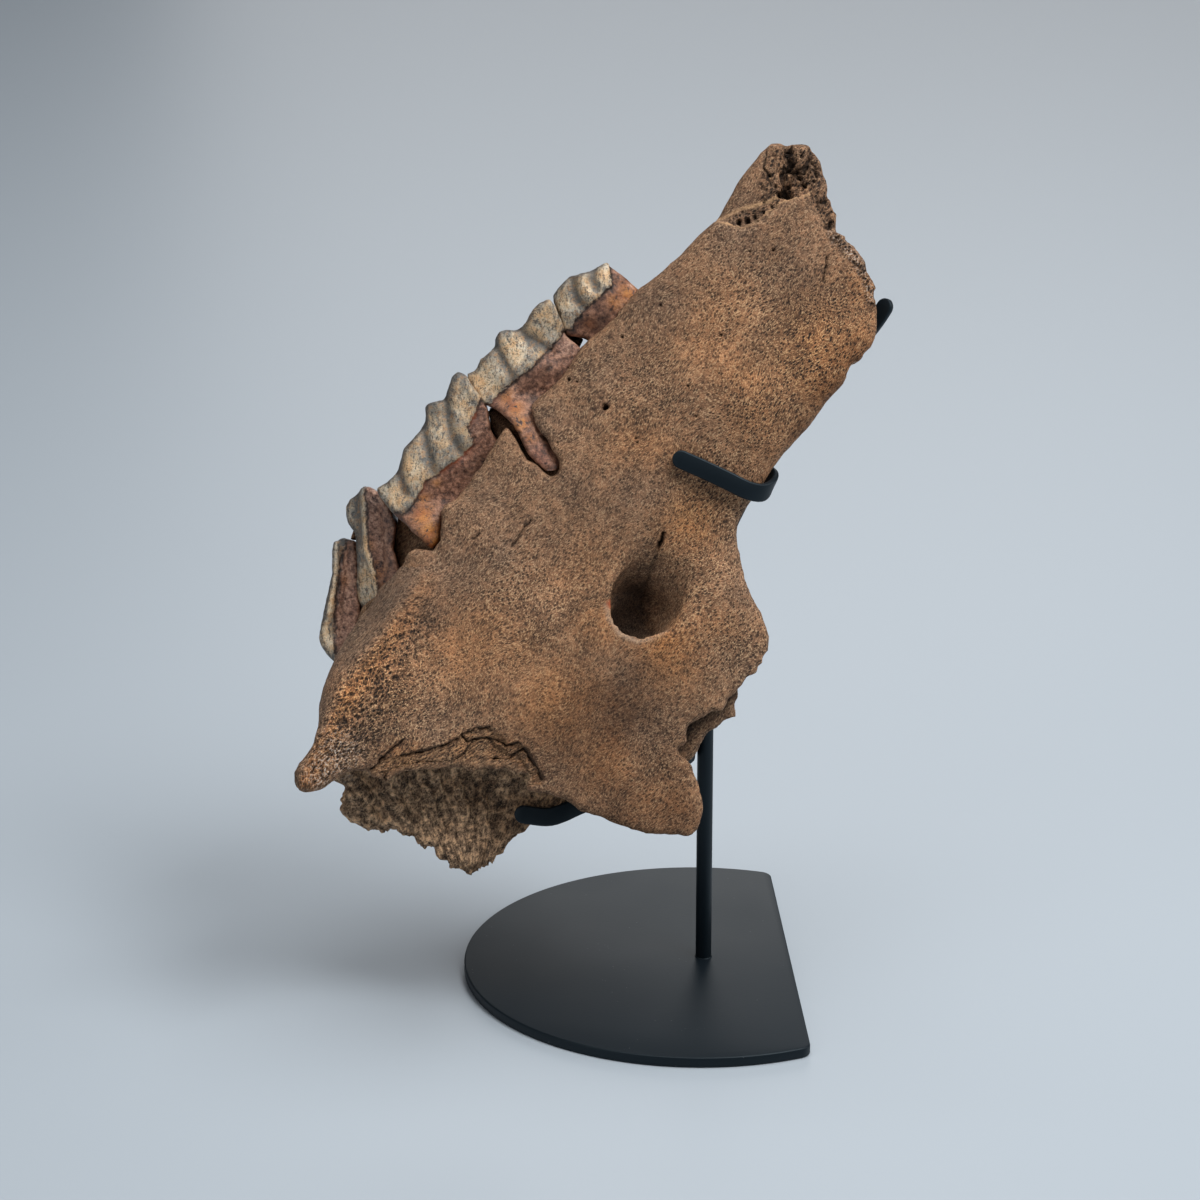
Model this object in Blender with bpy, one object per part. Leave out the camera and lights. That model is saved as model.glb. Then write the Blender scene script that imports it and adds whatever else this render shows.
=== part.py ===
"""Left upper jaw bone of a woolly rhino, a broken fossil with five cheek teeth, held on a steel stand.

The bone, its teeth and the bars that hold it are laid out in the plane of the bone's outer face, in
millimetres: u runs to the right, v up the face and w out of it, with w = 0 on the face beside the
foramen. The empty "face" leans that plane back over the stand. The stand's plate lies on z = 0, the
upright rises behind the bone, and the origin is under the middle of the whole object.
"""

import math

import bmesh
import bpy
import numpy as np
from mathutils import Matrix, Vector, geometry

MM = 0.001
GAP = 0.35

# The stand: a round plate cut off straight on its right, and a round rod.
PLATE_RADIUS = 88.7
PLATE_CHORD = 35.9
PLATE_THICKNESS = 4.0
PLATE_CORNER = 5.5
PLATE_EDGE = 0.6
PLATE_SIDES = 56
CORNER_SIDES = 6
ROD_DIAMETER = 6.0
ROD_PLACE = (2.8, 1.0)
ROD_TOP = 142.0
ROD_SIDES = 24
SHARP_ANGLE = math.radians(35)

# The flat bars on the rod, as routes in the face's frame. A bar's width turns from its first across to
# its last.
BAR_WIDTH = 6.8
BAR_THICKNESS = 2.2
BAR_STEP = 5.0
BARS = {
    "upper_prong": {
        "route": [(39.5, -31.1, -28.9), (39.5, -8.2, -21.9), (42.5, 6, -19.2), (51, 26, -19.2),
                  (59, 48, -20.4), (70, 66, -20.8), (82, 80, -20.4), (93, 92, -19.8),
                  (101, 101.5, -18.6), (106.5, 110, -16.3)],
        "across": [(1, 0, 0), (0.62, -0.5, 0.6)], "rounded": (True, True),
    },
    "side_strap": {
        "route": [(58, 46.8, -17.6), (61.3, 46, -15.5), (63.2, 44, -10.5), (62.4, 41.2, -4), (59, 39.2, 0.4),
                  (53.5, 40.2, 3), (46, 43.8, 4), (37, 48, 4), (26.5, 52.6, 3.8)],
        "across": [(0.42, 0.91, 0), (0.42, 0.91, 0)], "rounded": (False, True),
    },
    "lower_hook": {
        "route": [(35, -56, -46), (34.9, -57, -40), (34, -58.6, -34), (29, -61, -27),
                  (18, -65.5, -19.5), (4, -71.5, -15.5), (-8.5, -76.6, -12.5), (-14, -79, -11),
                  (-20, -80.4, -10.8), (-31.5, -79, -11.6)],
        "across": [(0.1, 1, 0), (0.1, 1, 0)], "rounded": (False, True),
    },
}

# Where the middle of the plate's circle lies, with the origin under the middle of the whole object.
STAND_PLACE = (38.59, 0.0)
# Where the face's zero point stands over the middle of the plate's circle, and how the face leans.
FACE_PLACE = (-37.9, -19.9, 156.2)
FACE_LEAN = math.radians(17)
FACE_TURN = math.radians(-3)

# How finely the bone is cut: first its relief, then one skin over all of it, then fewer triangles.
RELIEF_STEP = 2.4
SKIN_SIZE = 1.7
BONE_SHARE = 0.0458
TOOTH_STEP = 1.6
TOOTH_SHARE = 0.2
SOCKET_GAP = 1.7
SOCKET_SHARE = 0.09

# The outer plate of bone, clockwise from the front end of the toothless bar.
OUTER_PLATE = [
    (42.5, 138.5), (50, 137), (55, 137), (62, 143), (68, 147), (75, 148), (78, 142.5), (81, 134),
    (82, 128.5), (88.5, 133.5), (95, 125.5), (98, 120), (100.5, 108), (101.5, 100.5), (101, 95.5),
    (97, 90.5), (94.5, 86.5), (92, 87), (90, 80), (83, 72.5), (79.5, 67), (73.5, 60), (68, 54),
    (63, 47.5), (55, 35.5), (51, 29), (50, 25), (50.5, 21), (52, 14), (53, 7.5), (55, 2.5), (57, -1.5),
    (59, -5), (61, -10), (61.5, -15.5), (59, -21), (57, -24), (58, -26.5), (56, -28), (52, -31),
    (49.5, -34.5), (46, -38.5), (44, -41), (39.5, -40.5), (36, -43.5), (33, -45.5), (32, -49),
    (31, -53), (28, -55.5), (34, -60.5), (35.5, -66.5), (38.5, -76), (37, -81), (33, -87), (26.5, -86),
    (16, -85.5), (6, -82), (0, -79), (-7, -77.5), (-11.5, -73), (-19.5, -70.5), (-26.5, -69.5),
    (-26.5, -66), (-22.5, -62.5), (-29.5, -63), (-34.5, -61.5), (-42, -60.5), (-46.5, -62.5),
    (-53.5, -59.5), (-64.5, -61), (-73.5, -62.5), (-80.5, -64), (-83.5, -61), (-91, -60.5),
    (-97.5, -65.5), (-105, -68), (-109.5, -66.5), (-110, -62.5), (-108, -58), (-103, -51), (-101.5, -44),
    (-102, -39), (-100, -29), (-97, -21), (-92.5, -13), (-88, -6), (-85, -3), (-81, 4), (-76.5, 7.5),
    (-72, 13), (-70, 17.5), (-64, 18), (-61, 17), (-58, 23), (-57.5, 33), (-56, 35), (-50, 39.5),
    (-47, 44), (-42, 50.5), (-38, 57.5), (-34, 63.5), (-30, 58), (-26.5, 51), (-21, 47.5), (-16.5, 44.5),
    (-14.4, 51), (-18, 55.5), (-22, 60), (-24, 65.5), (-25, 70.5), (-22, 74), (-15, 80.5), (-11, 85),
    (-6.5, 92.5), (0, 98.5), (14, 113.5), (21, 118.5), (29, 125.5), (36, 133),
]
# Heights of the outer face: it rises towards the cheek bone's root and rolls away at its edges.
OUTER_FACE = [
    (16, 22, 0.5), (48, 10, -1), (60, -14, -5), (40, -28, -0.5), (20, -45, 1), (30, -78, -1), (5, -62, 2),
    (-15, -45, 5), (-30, -58, 7), (-50, -52, 13), (-75, -55, 21), (-95, -60, 29), (-108, -64, 33),
    (-10, -12, 3), (-35, -10, 5.5), (-58, -20, 11), (-72, -5, 10), (-84, -18, 17), (-94, -36, 25),
    (-102, -50, 30), (-70, 14, 3), (-55, 20, 3), (-38, 30, 2.5), (-40, 50, 0), (-20, 35, 1.5), (0, 45, 2),
    (-12, 76, -2), (15, 70, 2), (45, 60, 2), (74, 64, -4), (25, 105, 0), (8, 103, -3), (50, 100, 2.5),
    (80, 100, -1), (98, 108, -7), (60, 132, -1), (80, 138, -4), (45, 130, -2), (30, 45, 1.5),
]
# Heights of the hidden inner face: thin over the nose and the eye socket, thick at the cheek bone.
INNER_FACE = [
    (16, 0, -23), (2, -15, -25), (-10, -28, -24), (-24, -40, -16), (46, 20, -9), (58, -15, -11),
    (40, -30, -8), (20, -60, -6), (32, -80, -6), (0, -72, -5), (-25, -55, -8), (-50, -50, -10),
    (-80, -50, -4), (-98, -52, 4), (-106, -64, 15), (-60, -25, -22), (-85, -20, -16), (-60, 10, -18),
    (-30, 40, -16),
    (0, 70, -16), (30, 60, -13), (60, 60, -13), (50, 100, -15), (90, 90, -17), (95, 115, -15),
    (70, 135, -14), (40, 128, -20), (20, 108, -20), (45, 45, -11),
]
THINNEST_BONE = 4.5
# The crest of the cheek bone's root. Left of it the bone turns away to face the teeth.
CREST = [(-62, 12), (-71, -1), (-79, -13), (-86, -21), (-91, -29.5), (-95, -38), (-99, -45.5),
         (-103, -52), (-107, -62)]
CREST_FALL = 30.0
CREST_WIDTH = 9.0
CREST_TOP = 20.0
CREST_FADE = 25.0
# Flakes of bone that have lifted along a crack above the torn lower edge.
FLAKE_EDGE = [(-90, -57), (-78, -57), (-68.5, -55), (-54.5, -50.5), (-44, -46.5), (-36, -50),
              (-27.5, -53.5), (-22, -61)]
FLAKE_DROP = 2.6
FLAKE_SLOPE = 1.5
FLAKE_REACH = 16.0
FLAKE_SPAN = (-92.0, -23.0)
FLAKE_FLOOR = -66.0

# The thick bar of bone that holds the teeth, and how far it reaches inwards.
TOOTH_BAR = [
    (27, 122), (14, 111), (2, 98), (-8, 86), (-18, 81), (-30, 73), (-42, 65), (-48, 54), (-60, 40),
    (-70, 26), (-78, 15), (-87, 4), (-94, -10), (-99, -26), (-98, -40), (-86, -50), (-68, -42),
    (-44, -18), (-18, 10), (6, 40), (24, 64), (38, 92), (42, 112), (38, 127),
]
TOOTH_BAR_FRONT = [
    (22, 114, -12), (0, 96, -14), (-22, 74, -15), (-44, 56, -16), (-62, 34, -16), (-80, 8, -24),
    (-96, -22, -34), (-84, -20, -14), (38, 116, -5), (24, 84, -5), (0, 46, -5), (-36, 10, -5),
    (-70, -32, -6), (-14, 66, -7), (-44, 32, -7), (10, 92, -7),
]
TOOTH_BAR_BACK = [
    (30, 118, -36), (10, 100, -42), (-15, 70, -52), (-45, 30, -60), (-72, 0, -70), (-90, -25, -80),
    (-90, -45, -66), (-66, -36, -60), (-40, -14, -50), (-12, 14, -42), (10, 44, -36), (30, 72, -32),
    (38, 100, -28), (-36, 48, -52), (-66, 16, -62), (-4, 82, -46),
]
# The stump of the palate, a broken shelf on the inner side of the tooth bar.
PALATE = [
    (28, 114), (19, 109), (10, 99), (1, 95), (-8, 82), (-19, 72), (-25, 61), (-36, 54), (-44, 40),
    (-56, 30), (-62, 15), (-74, 6), (-80, -6), (-86, -16), (-84, -26), (-76, -28), (-66, -14),
    (-50, 8), (-34, 28), (-14, 52), (4, 76), (20, 92), (34, 104),
]
PALATE_FRONT = -30.0
PALATE_BACK = [
    (24, 110, -44), (8, 92, -57), (-4, 80, -54), (-18, 62, -63), (-34, 42, -62), (-48, 22, -74),
    (-62, 4, -72), (-78, -14, -62), (-84, -24, -58),
]
# Hollows on the hidden side: the sinus over the molars, and the floor of the nose in front of it.
HOLLOWS = {
    "sinus": {"middle": (-40, -38, -52), "half_sizes": (30, 13, 33), "turn": 48},
    "nose": {"middle": (22, 34, -46), "half_sizes": (52, 17, 26), "turn": 54},
}
CONCHA_RIDGE = [(-16, -30), (8, 12), (34, 56), (58, 104)]
CONCHA_HEIGHT = 5.0
CONCHA_WIDTH = 4.5

# The torn inner slab under the cheek bone's root, set back behind the outer plate.
SLAB = [
    (-91, -50), (-92, -62), (-91, -67.5), (-94.5, -73), (-94.5, -78), (-91.5, -82.5), (-86, -84.5),
    (-80.5, -86), (-75, -84.5), (-68.5, -87.5), (-64.5, -91.5), (-61, -91), (-57.5, -95.5), (-52, -100),
    (-48, -102.5), (-44.5, -100.5), (-40, -97), (-36, -95.5), (-32.5, -91.5), (-29, -88), (-23.5, -83),
    (-14.5, -78), (-9, -73), (-12, -56), (-26, -36), (-60, -30), (-84, -36),
]
SLAB_FRONT = [
    (-90, -78, -4), (-88, -62, -2), (-72, -72, -7), (-66, -88, -8), (-48, -98, -9), (-52, -80, -11),
    (-34, -88, -12), (-30, -70, -14), (-16, -72, -14), (-60, -50, -12), (-30, -45, -14),
]
SLAB_BACK = [
    (-88, -76, -30), (-66, -84, -28), (-48, -97, -20), (-50, -60, -34), (-30, -82, -22),
    (-16, -72, -20), (-30, -45, -26), (-80, -45, -40),
]
SLAB_FOLDS = [
    [(-84, -62), (-80, -85)], [(-70, -64), (-67, -88)], [(-57, -64), (-58, -95)],
    [(-48, -66), (-46, -101)], [(-40, -68), (-36, -95)],
]
SLAB_FOLD_DEPTH = 2.2
SLAB_FOLD_WIDTH = 3.2
# The thin inner wall behind the broken edge of the eye socket.
SOCKET_WALL = [
    (50.5, -33), (49.5, -38.5), (50.5, -44), (45.5, -44.5), (39.5, -49.5), (35.5, -56), (33, -60),
    (20, -66), (12, -48), (28, -28), (44, -22),
]
SOCKET_WALL_FACES = (-10.5, -15.5)
# The broken core of the front end, laid bare where the outer plate is gone.
FRONT_CORE = [
    (42, 136), (45.5, 144), (50.5, 152), (56, 160), (60.5, 165.5), (65.5, 167.5), (68.5, 166), (71.5, 167),
    (76, 166.5), (79, 163), (81.5, 158), (83.5, 151), (85.5, 142.5), (86, 132), (84, 118), (50, 118),
]
FRONT_CORE_TOP = [(48, 148, -9), (66, 164, -9), (80, 160, -8), (62, 140, -6), (84, 140, -9), (60, 122, -4)]
FRONT_CORE_BACK = [(48, 146, -21), (66, 164, -19), (80, 158, -19), (60, 122, -12), (82, 126, -11)]
FRONT_CORE_CLEFTS = [[(68.5, 170), (68, 160), (66, 151)], [(79, 166), (73, 156), (70, 149)]]
CLEFT_DEPTH = 6.0
CLEFT_WIDTH = 2.8

# The infraorbital canal: the middle and the radius of its section, from the air inwards.
# It slopes in from the upper right, and its right wall fans out.
CANAL = [
    ((23.6, 26.5, 7.6), 4.5), ((22.7, 22.5, 6.2), 5.4), ((19.6, 12.8, 3.8), 8.8), ((16.6, 3.4, -1.2), 11.6),
    ((14.6, -4.2, -7.2), 12), ((10.5, -10.5, -13), 9.6), ((3.5, -17, -17), 6.4), ((-7, -26, -18.5), 4),
]
CANAL_FAN = [
    ((39, 24, 13), 9), ((33, 16, 10.6), 10), ((27, 7.5, 6), 11.4), ((20.5, -0.5, -1.5), 11), ((15, -6, -8), 8),
]
CANAL_SIDES = 18

# Teeth: the outline in the face plane, then heights of the outer and the inner side.
# The enamel line parts the thicker crown from the root, and the ribs run up the crown's outer side.
TEETH = {
    "premolar_2": {
        "enamel": [(-20, 97), (-12.5, 98), (-10.5, 105), (-4, 106.5), (1, 112), (5, 116.5), (4, 126)],
        "furrows": [[(-8.5, 120), (-6.5, 107)], [(1, 123), (1, 115)]],
        "outline": [
            (-17.3, 111.5), (-14.5, 115), (-11, 118.5), (-6, 119.5), (-2.5, 120.5), (2.5, 123.5),
            (4.5, 121.5), (9, 118), (14, 113.5), (24, 104), (25, 95), (17, 86), (8, 85), (-4.5, 95),
            (-8, 96.5), (-12, 99), (-13.2, 101), (-14.6, 106.8),
        ],
        "outer": [
            (-15, 110, -8), (-7, 116, -5), (2, 119, -5.5), (8, 116, -8), (-9, 105, -7), (0, 112, -4.5),
            (-4, 100, -9), (8, 106, -7.5), (16, 96, -9),
        ],
        "inner": [(-12, 110, -31), (3, 118, -32), (0, 104, -34), (16, 94, -26)],
        "valleys": [((-7, 120), (-3, 108), -18)],
    },
    "premolar_3": {
        "enamel": [(-55, 74), (-47, 73.5), (-42, 72), (-36, 77), (-28, 82), (-22, 87), (-18, 91), (-8, 104)],
        "furrows": [[(-44.5, 90), (-40, 76)], [(-38.5, 96), (-31, 80)], [(-28.5, 102), (-22, 90)]],
        "outline": [
            (-48.5, 81.5), (-45.5, 84), (-44, 88), (-38.5, 92.5), (-38.5, 95.5), (-35.5, 98.5), (-30.5, 98.5),
            (-27.5, 101), (-25, 105.5), (-21, 109), (-18.4, 109.5), (-15.7, 105), (-14.5, 100.5), (-14.8, 96),
            (-7.5, 92.5), (0, 84), (-2, 73), (-10, 64), (-17, 66), (-22, 65), (-19.4, 56.5), (-16.4, 51.5),
            (-16.2, 48), (-17.8, 46.5), (-20.5, 48.2), (-25, 52.5), (-28.7, 58.5), (-32.5, 65), (-38, 69.5),
            (-42.5, 72), (-46, 77.5),
        ],
        "outer": [
            (-44, 82, -8), (-37, 91, -5), (-32, 88, -6), (-24, 97, -7), (-20, 102, -5), (-17, 98, -8),
            (-33, 80, -4.5), (-25, 86, -4.5), (-37, 76, -7), (-28, 75, -8), (-14, 88, -8), (-24, 62, -2.5),
            (-18, 51, -2), (-30, 70, -4), (-8, 76, -10), (-14, 68, -10),
        ],
        "inner": [
            (-42, 82, -40), (-22, 104, -40), (-25, 80, -43), (-6, 78, -32), (-20, 54, -13), (-28, 66, -30),
        ],
        "valleys": [((-36, 99), (-29, 86), -24)],
    },
    "premolar_4": {
        "enamel": [(-92, 30), (-74, 34), (-66, 38), (-61, 42), (-55, 51), (-48, 57), (-42, 72)],
        "furrows": [[(-74, 51), (-69, 40)], [(-64, 66), (-60, 45)], [(-56, 74), (-54, 53)]],
        "outline": [
            (-82.5, 40.5), (-79, 42.5), (-75, 46.5), (-73, 50.5), (-72, 55), (-68.5, 59), (-64, 64),
            (-64, 70), (-63, 71.5), (-57, 73), (-55.5, 78), (-54.5, 81.5), (-52, 83), (-49.5, 81.5),
            (-47, 76.5),
            (-46, 71), (-44, 68), (-40, 62), (-36, 56), (-30, 48), (-34, 36), (-46, 30), (-54, 34),
            (-58, 30), (-58.5, 22), (-61.5, 18), (-64.5, 21), (-70.5, 26.5), (-77, 32), (-81.5, 38),
        ],
        "outer": [
            (-80, 40, -12), (-72, 44, -8), (-66, 54, -7), (-60, 66, -8), (-56, 70, -6), (-51, 78, -4.5),
            (-49, 70, -6), (-70, 36, -8), (-60, 46, -6), (-50, 58, -6), (-63, 26, -4.5), (-58, 36, -9),
            (-44, 52, -9), (-40, 40, -11), (-54, 62, -5),
        ],
        "inner": [(-76, 42, -50), (-52, 78, -50), (-58, 50, -54), (-40, 42, -42), (-62, 24, -40)],
        "valleys": [((-66, 67), (-57, 52), -30)],
    },
    "molar_1": {
        "enamel": [(-98, 10), (-84, 8), (-70, 18)],
        "furrows": [[(-89, 42), (-88, 10)], [(-84, 42), (-82, 12)]],
        "outline": [
            (-88.5, 41), (-85.5, 41), (-83.2, 38.5), (-79.5, 33), (-77.5, 26), (-77, 18), (-74, 10), (-64, 6),
            (-60, -2), (-66, -12), (-78, -14), (-87, -8), (-91, 0), (-90.5, 9), (-90.5, 15), (-91, 24),
            (-94, 27.5), (-94.5, 33), (-91.5, 37),
        ],
        "outer": [
            (-86, 38, -20), (-80, 30, -17), (-79, 18, -16), (-91, 30, -26), (-88, 14, -24), (-76, 0, -20),
        ],
        "inner": [(-87, 36, -60), (-90, 20, -62), (-76, 10, -62), (-74, -8, -54)],
        "valleys": [((-97, 22), (-84, 18), -38)],
    },
    "molar_2": {
        "enamel": [(-110, -22), (-92, -22), (-88, 8)],
        "furrows": [[(-98, 22), (-98, -18)]],
        "outline": [
            (-96, 22), (-99.5, 20.5), (-100, 16.5), (-100, 8.5), (-102, -0.5), (-104, -9.5), (-105, -15.5),
            (-104, -19), (-101, -23), (-90, -32), (-79, -28), (-82, -18), (-92, -11), (-93.5, 0),
            (-92.8, 10), (-92.7, 20),
        ],
        "outer": [(-96, 18, -32), (-95, 4, -30), (-99, -12, -31), (-88, 6, -29), (-80, -14, -30)],
        "inner": [(-96, 14, -70), (-101, -12, -74), (-86, -8, -74), (-78, -18, -66)],
        "valleys": [((-108, -2), (-94, -4), -50)],
    },
}
ENAMEL_STEP = 0.9
ENAMEL_SLOPE = 1.2
FURROW_DEPTH = 1.8
FURROW_WIDTH = 2.6
VALLEY_WIDTH = 7.0
VALLEY_FLARE = 1.4
VALLEY_SIDES = 8
TOOTH_TAPER = 0.10


def clear_scene():
    for old in list(bpy.data.objects):
        bpy.data.objects.remove(old, do_unlink=True)


def empty(name, place, rotation=(0, 0, 0), parent=None):
    """A frame that carries the objects laid out in it, its place in millimetres."""
    made = bpy.data.objects.new(name, None)
    bpy.context.scene.collection.objects.link(made)
    made.location = Vector(place) * MM
    made.rotation_euler = rotation
    made.parent = parent
    return made


def material(name, colour, roughness, metallic=0.0):
    made = bpy.data.materials.new(name)
    made.use_nodes = True
    shader = made.node_tree.nodes["Principled BSDF"]
    shader.inputs["Base Color"].default_value = (*colour, 1)
    shader.inputs["Roughness"].default_value = roughness
    shader.inputs["Metallic"].default_value = metallic
    return made


def add_object(name, shells, frame, finish=None):
    """One object from shells of (points in millimetres, faces), laid out in its frame."""
    points = []
    faces = []
    for shell_points, shell_faces in shells:
        first = len(points)
        points += [Vector(point) * MM for point in shell_points]
        faces += [[first + index for index in face] for face in shell_faces]
    mesh = bpy.data.meshes.new(name)
    mesh.from_pydata(points, [], faces)
    shape = bmesh.new()
    shape.from_mesh(mesh)
    bmesh.ops.recalc_face_normals(shape, faces=shape.faces)
    shape.to_mesh(mesh)
    shape.free()
    made = bpy.data.objects.new(name, mesh)
    bpy.context.scene.collection.objects.link(made)
    made.parent = frame
    if finish:
        mesh.materials.append(finish)
    return made


def as_cutter(cutter):
    cutter.hide_render = True
    cutter.display_type = "WIRE"
    return cutter


def cut(target, cutter):
    boolean = target.modifiers.new(cutter.name, "BOOLEAN")
    boolean.operation = "DIFFERENCE"
    boolean.solver = "EXACT"
    boolean.object = as_cutter(cutter)


def spot_surface(spots):
    """A smooth surface through heights given at a few places: a thin plate spline."""
    spots = np.array(spots, dtype=float)
    at = spots[:, :2]

    def bend(points):
        squared = ((points[:, None] - at[None]) ** 2).sum(axis=2)
        return squared * np.log(squared + 1e-9)

    count = len(spots)
    plane = np.column_stack([np.ones(count), at])
    left = np.block([[bend(at), plane], [plane.T, np.zeros((3, 3))]])
    weights = np.linalg.solve(left, np.append(spots[:, 2], np.zeros(3)))

    def height(points):
        flat = weights[count] + points @ weights[count + 1 :]
        return bend(points) @ weights[:count] + flat

    return height


def away_from(points, path, closed=False):
    """Each point's distance from a path, and which side of it the point is on: +1 is left."""
    path = np.array(path, dtype=float)
    ends = np.roll(path, -1, axis=0) if closed else path[1:]
    distance = np.full(len(points), np.inf)
    side = np.zeros(len(points))
    for start, end in zip(path, ends):
        along = end - start
        share = np.clip((points - start) @ along / (along @ along), 0, 1)
        offset = points - start - share[:, None] * along
        length = np.hypot(offset[:, 0], offset[:, 1])
        nearer = length < distance
        distance[nearer] = length[nearer]
        turn = along[0] * (points[:, 1] - start[1]) - along[1] * (points[:, 0] - start[0])
        side[nearer] = np.sign(turn[nearer])
    return distance, side


def inside(points, outline):
    crossings = np.zeros(len(points), dtype=int)
    for start, end in zip(outline, np.roll(outline, -1, axis=0)):
        spans = (start[1] > points[:, 1]) != (end[1] > points[:, 1])
        rise = end[1] - start[1] or 1.0
        reach = start[0] + (points[:, 1] - start[1]) / rise * (end[0] - start[0])
        crossings += spans & (points[:, 0] < reach)
    return crossings % 2 == 1


def resampled(outline, step):
    points = []
    for start, end in zip(outline, outline[1:] + outline[:1]):
        start, end = np.array(start, dtype=float), np.array(end, dtype=float)
        count = max(1, round(float(np.linalg.norm(end - start)) / step))
        points += [start + (end - start) * k / count for k in range(count)]
    return np.array(points)


def relief(outline, front, back, step, rounding=2.5, taper=0.0):
    """A closed solid over an outline, between a front and a back surface, its edges rounded.

    The points inside the outline stand in offset rows, so that the triangles come out nearly equal.
    """
    rim = resampled(outline, step)
    low, high = rim.min(axis=0), rim.max(axis=0)
    rows = np.arange(low[1], high[1], step * math.sin(math.radians(60)))
    columns = np.arange(low[0], high[0], step)
    grid = np.array([(u + step / 2 * (k % 2), v) for k, v in enumerate(rows) for u in columns])
    clear = away_from(grid, rim, closed=True)[0] > 0.6 * step
    grid = grid[clear & inside(grid, rim)]
    flat = [Vector(point) for point in np.vstack([rim, grid])]
    made, _, triangles, _, _, _ = geometry.delaunay_2d_cdt(flat, [], [list(range(len(rim)))], 1, 1e-5)
    plan = np.array(made)
    triangles = np.array(triangles)
    sides = triangles[:, [0, 1, 1, 2, 2, 0]].reshape(-1, 2)
    known = {tuple(side) for side in sides.tolist()}
    border = [(a, b) for a, b in sides.tolist() if (b, a) not in known]

    edge = away_from(plan, rim, closed=True)[0]
    upper, lower = front(plan), back(plan)
    radius = np.minimum(rounding, 0.45 * (upper - lower))
    near = np.clip(1 - edge / radius, 0, 1)
    drop = radius * (1 - np.sqrt(1 - near**2))
    count = len(plan)
    middle = plan.mean(axis=0)
    shrunk = middle + (plan - middle) * (1 - taper)
    points = np.vstack(
        [np.column_stack([plan, upper - drop]), np.column_stack([shrunk, lower + drop])]
    )
    faces = triangles.tolist()
    faces += (triangles[:, ::-1] + count).tolist()
    faces += [[b, a, a + count, b + count] for a, b in border]
    return points, faces


def grooves(points, paths, depth, width):
    fall = np.zeros(len(points))
    for path in paths:
        fall = np.maximum(fall, depth * np.exp(-((away_from(points, path)[0] / width) ** 2)))
    return fall


def outer_face(points):
    height = spot_surface(OUTER_FACE)(points)
    distance, side = away_from(points, CREST)
    beyond = np.where(side < 0, distance, 0)
    fall = CREST_FALL * np.clip((CREST_TOP - points[:, 1]) / CREST_FADE, 0, 1)
    height = height - fall * (1 - np.exp(-((beyond / CREST_WIDTH) ** 2)))
    distance, side = away_from(points, FLAKE_EDGE)
    low, high = FLAKE_SPAN
    below = (side < 0) & (distance < FLAKE_REACH) & (points[:, 1] > FLAKE_FLOOR)
    below &= (points[:, 0] > low) & (points[:, 0] < high)
    return height - FLAKE_DROP * np.where(below, np.clip(distance / FLAKE_SLOPE, 0, 1), 0)


def inner_face(points):
    ridge = grooves(points, [CONCHA_RIDGE], CONCHA_HEIGHT, CONCHA_WIDTH)
    return np.minimum(spot_surface(INNER_FACE)(points) - ridge, outer_face(points) - THINNEST_BONE)


def slab_front(points):
    return spot_surface(SLAB_FRONT)(points) - grooves(points, SLAB_FOLDS, SLAB_FOLD_DEPTH, SLAB_FOLD_WIDTH)


def core_front(points):
    return spot_surface(FRONT_CORE_TOP)(points) - grooves(points, FRONT_CORE_CLEFTS, CLEFT_DEPTH, CLEFT_WIDTH)


def level(height):
    return lambda points: np.full(len(points), float(height))


def bone_shells():
    """The overlapping parts of the one bone, which a single skin then covers."""
    return [
        relief(OUTER_PLATE, outer_face, inner_face, RELIEF_STEP, rounding=3.0),
        relief(
            TOOTH_BAR, spot_surface(TOOTH_BAR_FRONT), spot_surface(TOOTH_BAR_BACK), RELIEF_STEP, rounding=7.0
        ),
        relief(PALATE, level(PALATE_FRONT), spot_surface(PALATE_BACK), RELIEF_STEP, rounding=3.0),
        relief(SLAB, slab_front, spot_surface(SLAB_BACK), RELIEF_STEP, rounding=4.0),
        relief(SOCKET_WALL, level(SOCKET_WALL_FACES[0]), level(SOCKET_WALL_FACES[1]), RELIEF_STEP),
        relief(FRONT_CORE, core_front, spot_surface(FRONT_CORE_BACK), RELIEF_STEP, rounding=3.5),
    ]


def canal_cutter(name, rings, frame):
    """A bent tube of changing width through rings of (middle, radius)."""
    middles = [Vector(middle) for middle, _ in rings]
    points = []
    for ring, (middle, radius) in enumerate(rings):
        along = (middles[min(ring + 1, len(rings) - 1)] - middles[max(ring - 1, 0)]).normalized()
        wide = Vector((0, 1, 0)).cross(along).normalized()
        tall = along.cross(wide)
        for k in range(CANAL_SIDES):
            angle = math.tau * k / CANAL_SIDES
            offset = wide * radius * math.cos(angle) + tall * radius * math.sin(angle)
            points.append(tuple(middles[ring] + offset))
    faces = [list(range(CANAL_SIDES)), list(range(len(points) - CANAL_SIDES, len(points)))]
    for ring in range(len(rings) - 1):
        for k in range(CANAL_SIDES):
            a, b = ring * CANAL_SIDES + k, ring * CANAL_SIDES + (k + 1) % CANAL_SIDES
            faces.append([a, b, b + CANAL_SIDES, a + CANAL_SIDES])
    return add_object(name, [(points, faces)], frame)


def hollow_cutter(name, middle, half_sizes, turn, frame):
    """An egg-shaped cutter, turned in the plane of the face."""
    bpy.ops.mesh.primitive_ico_sphere_add(subdivisions=3, radius=1)
    cutter = bpy.context.object
    cutter.name = name
    cutter.data.transform(Matrix.Diagonal((*half_sizes, 1 / MM)) * MM)
    cutter.parent = frame
    cutter.location = Vector(middle) * MM
    cutter.rotation_euler.z = math.radians(turn)
    return cutter


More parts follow.
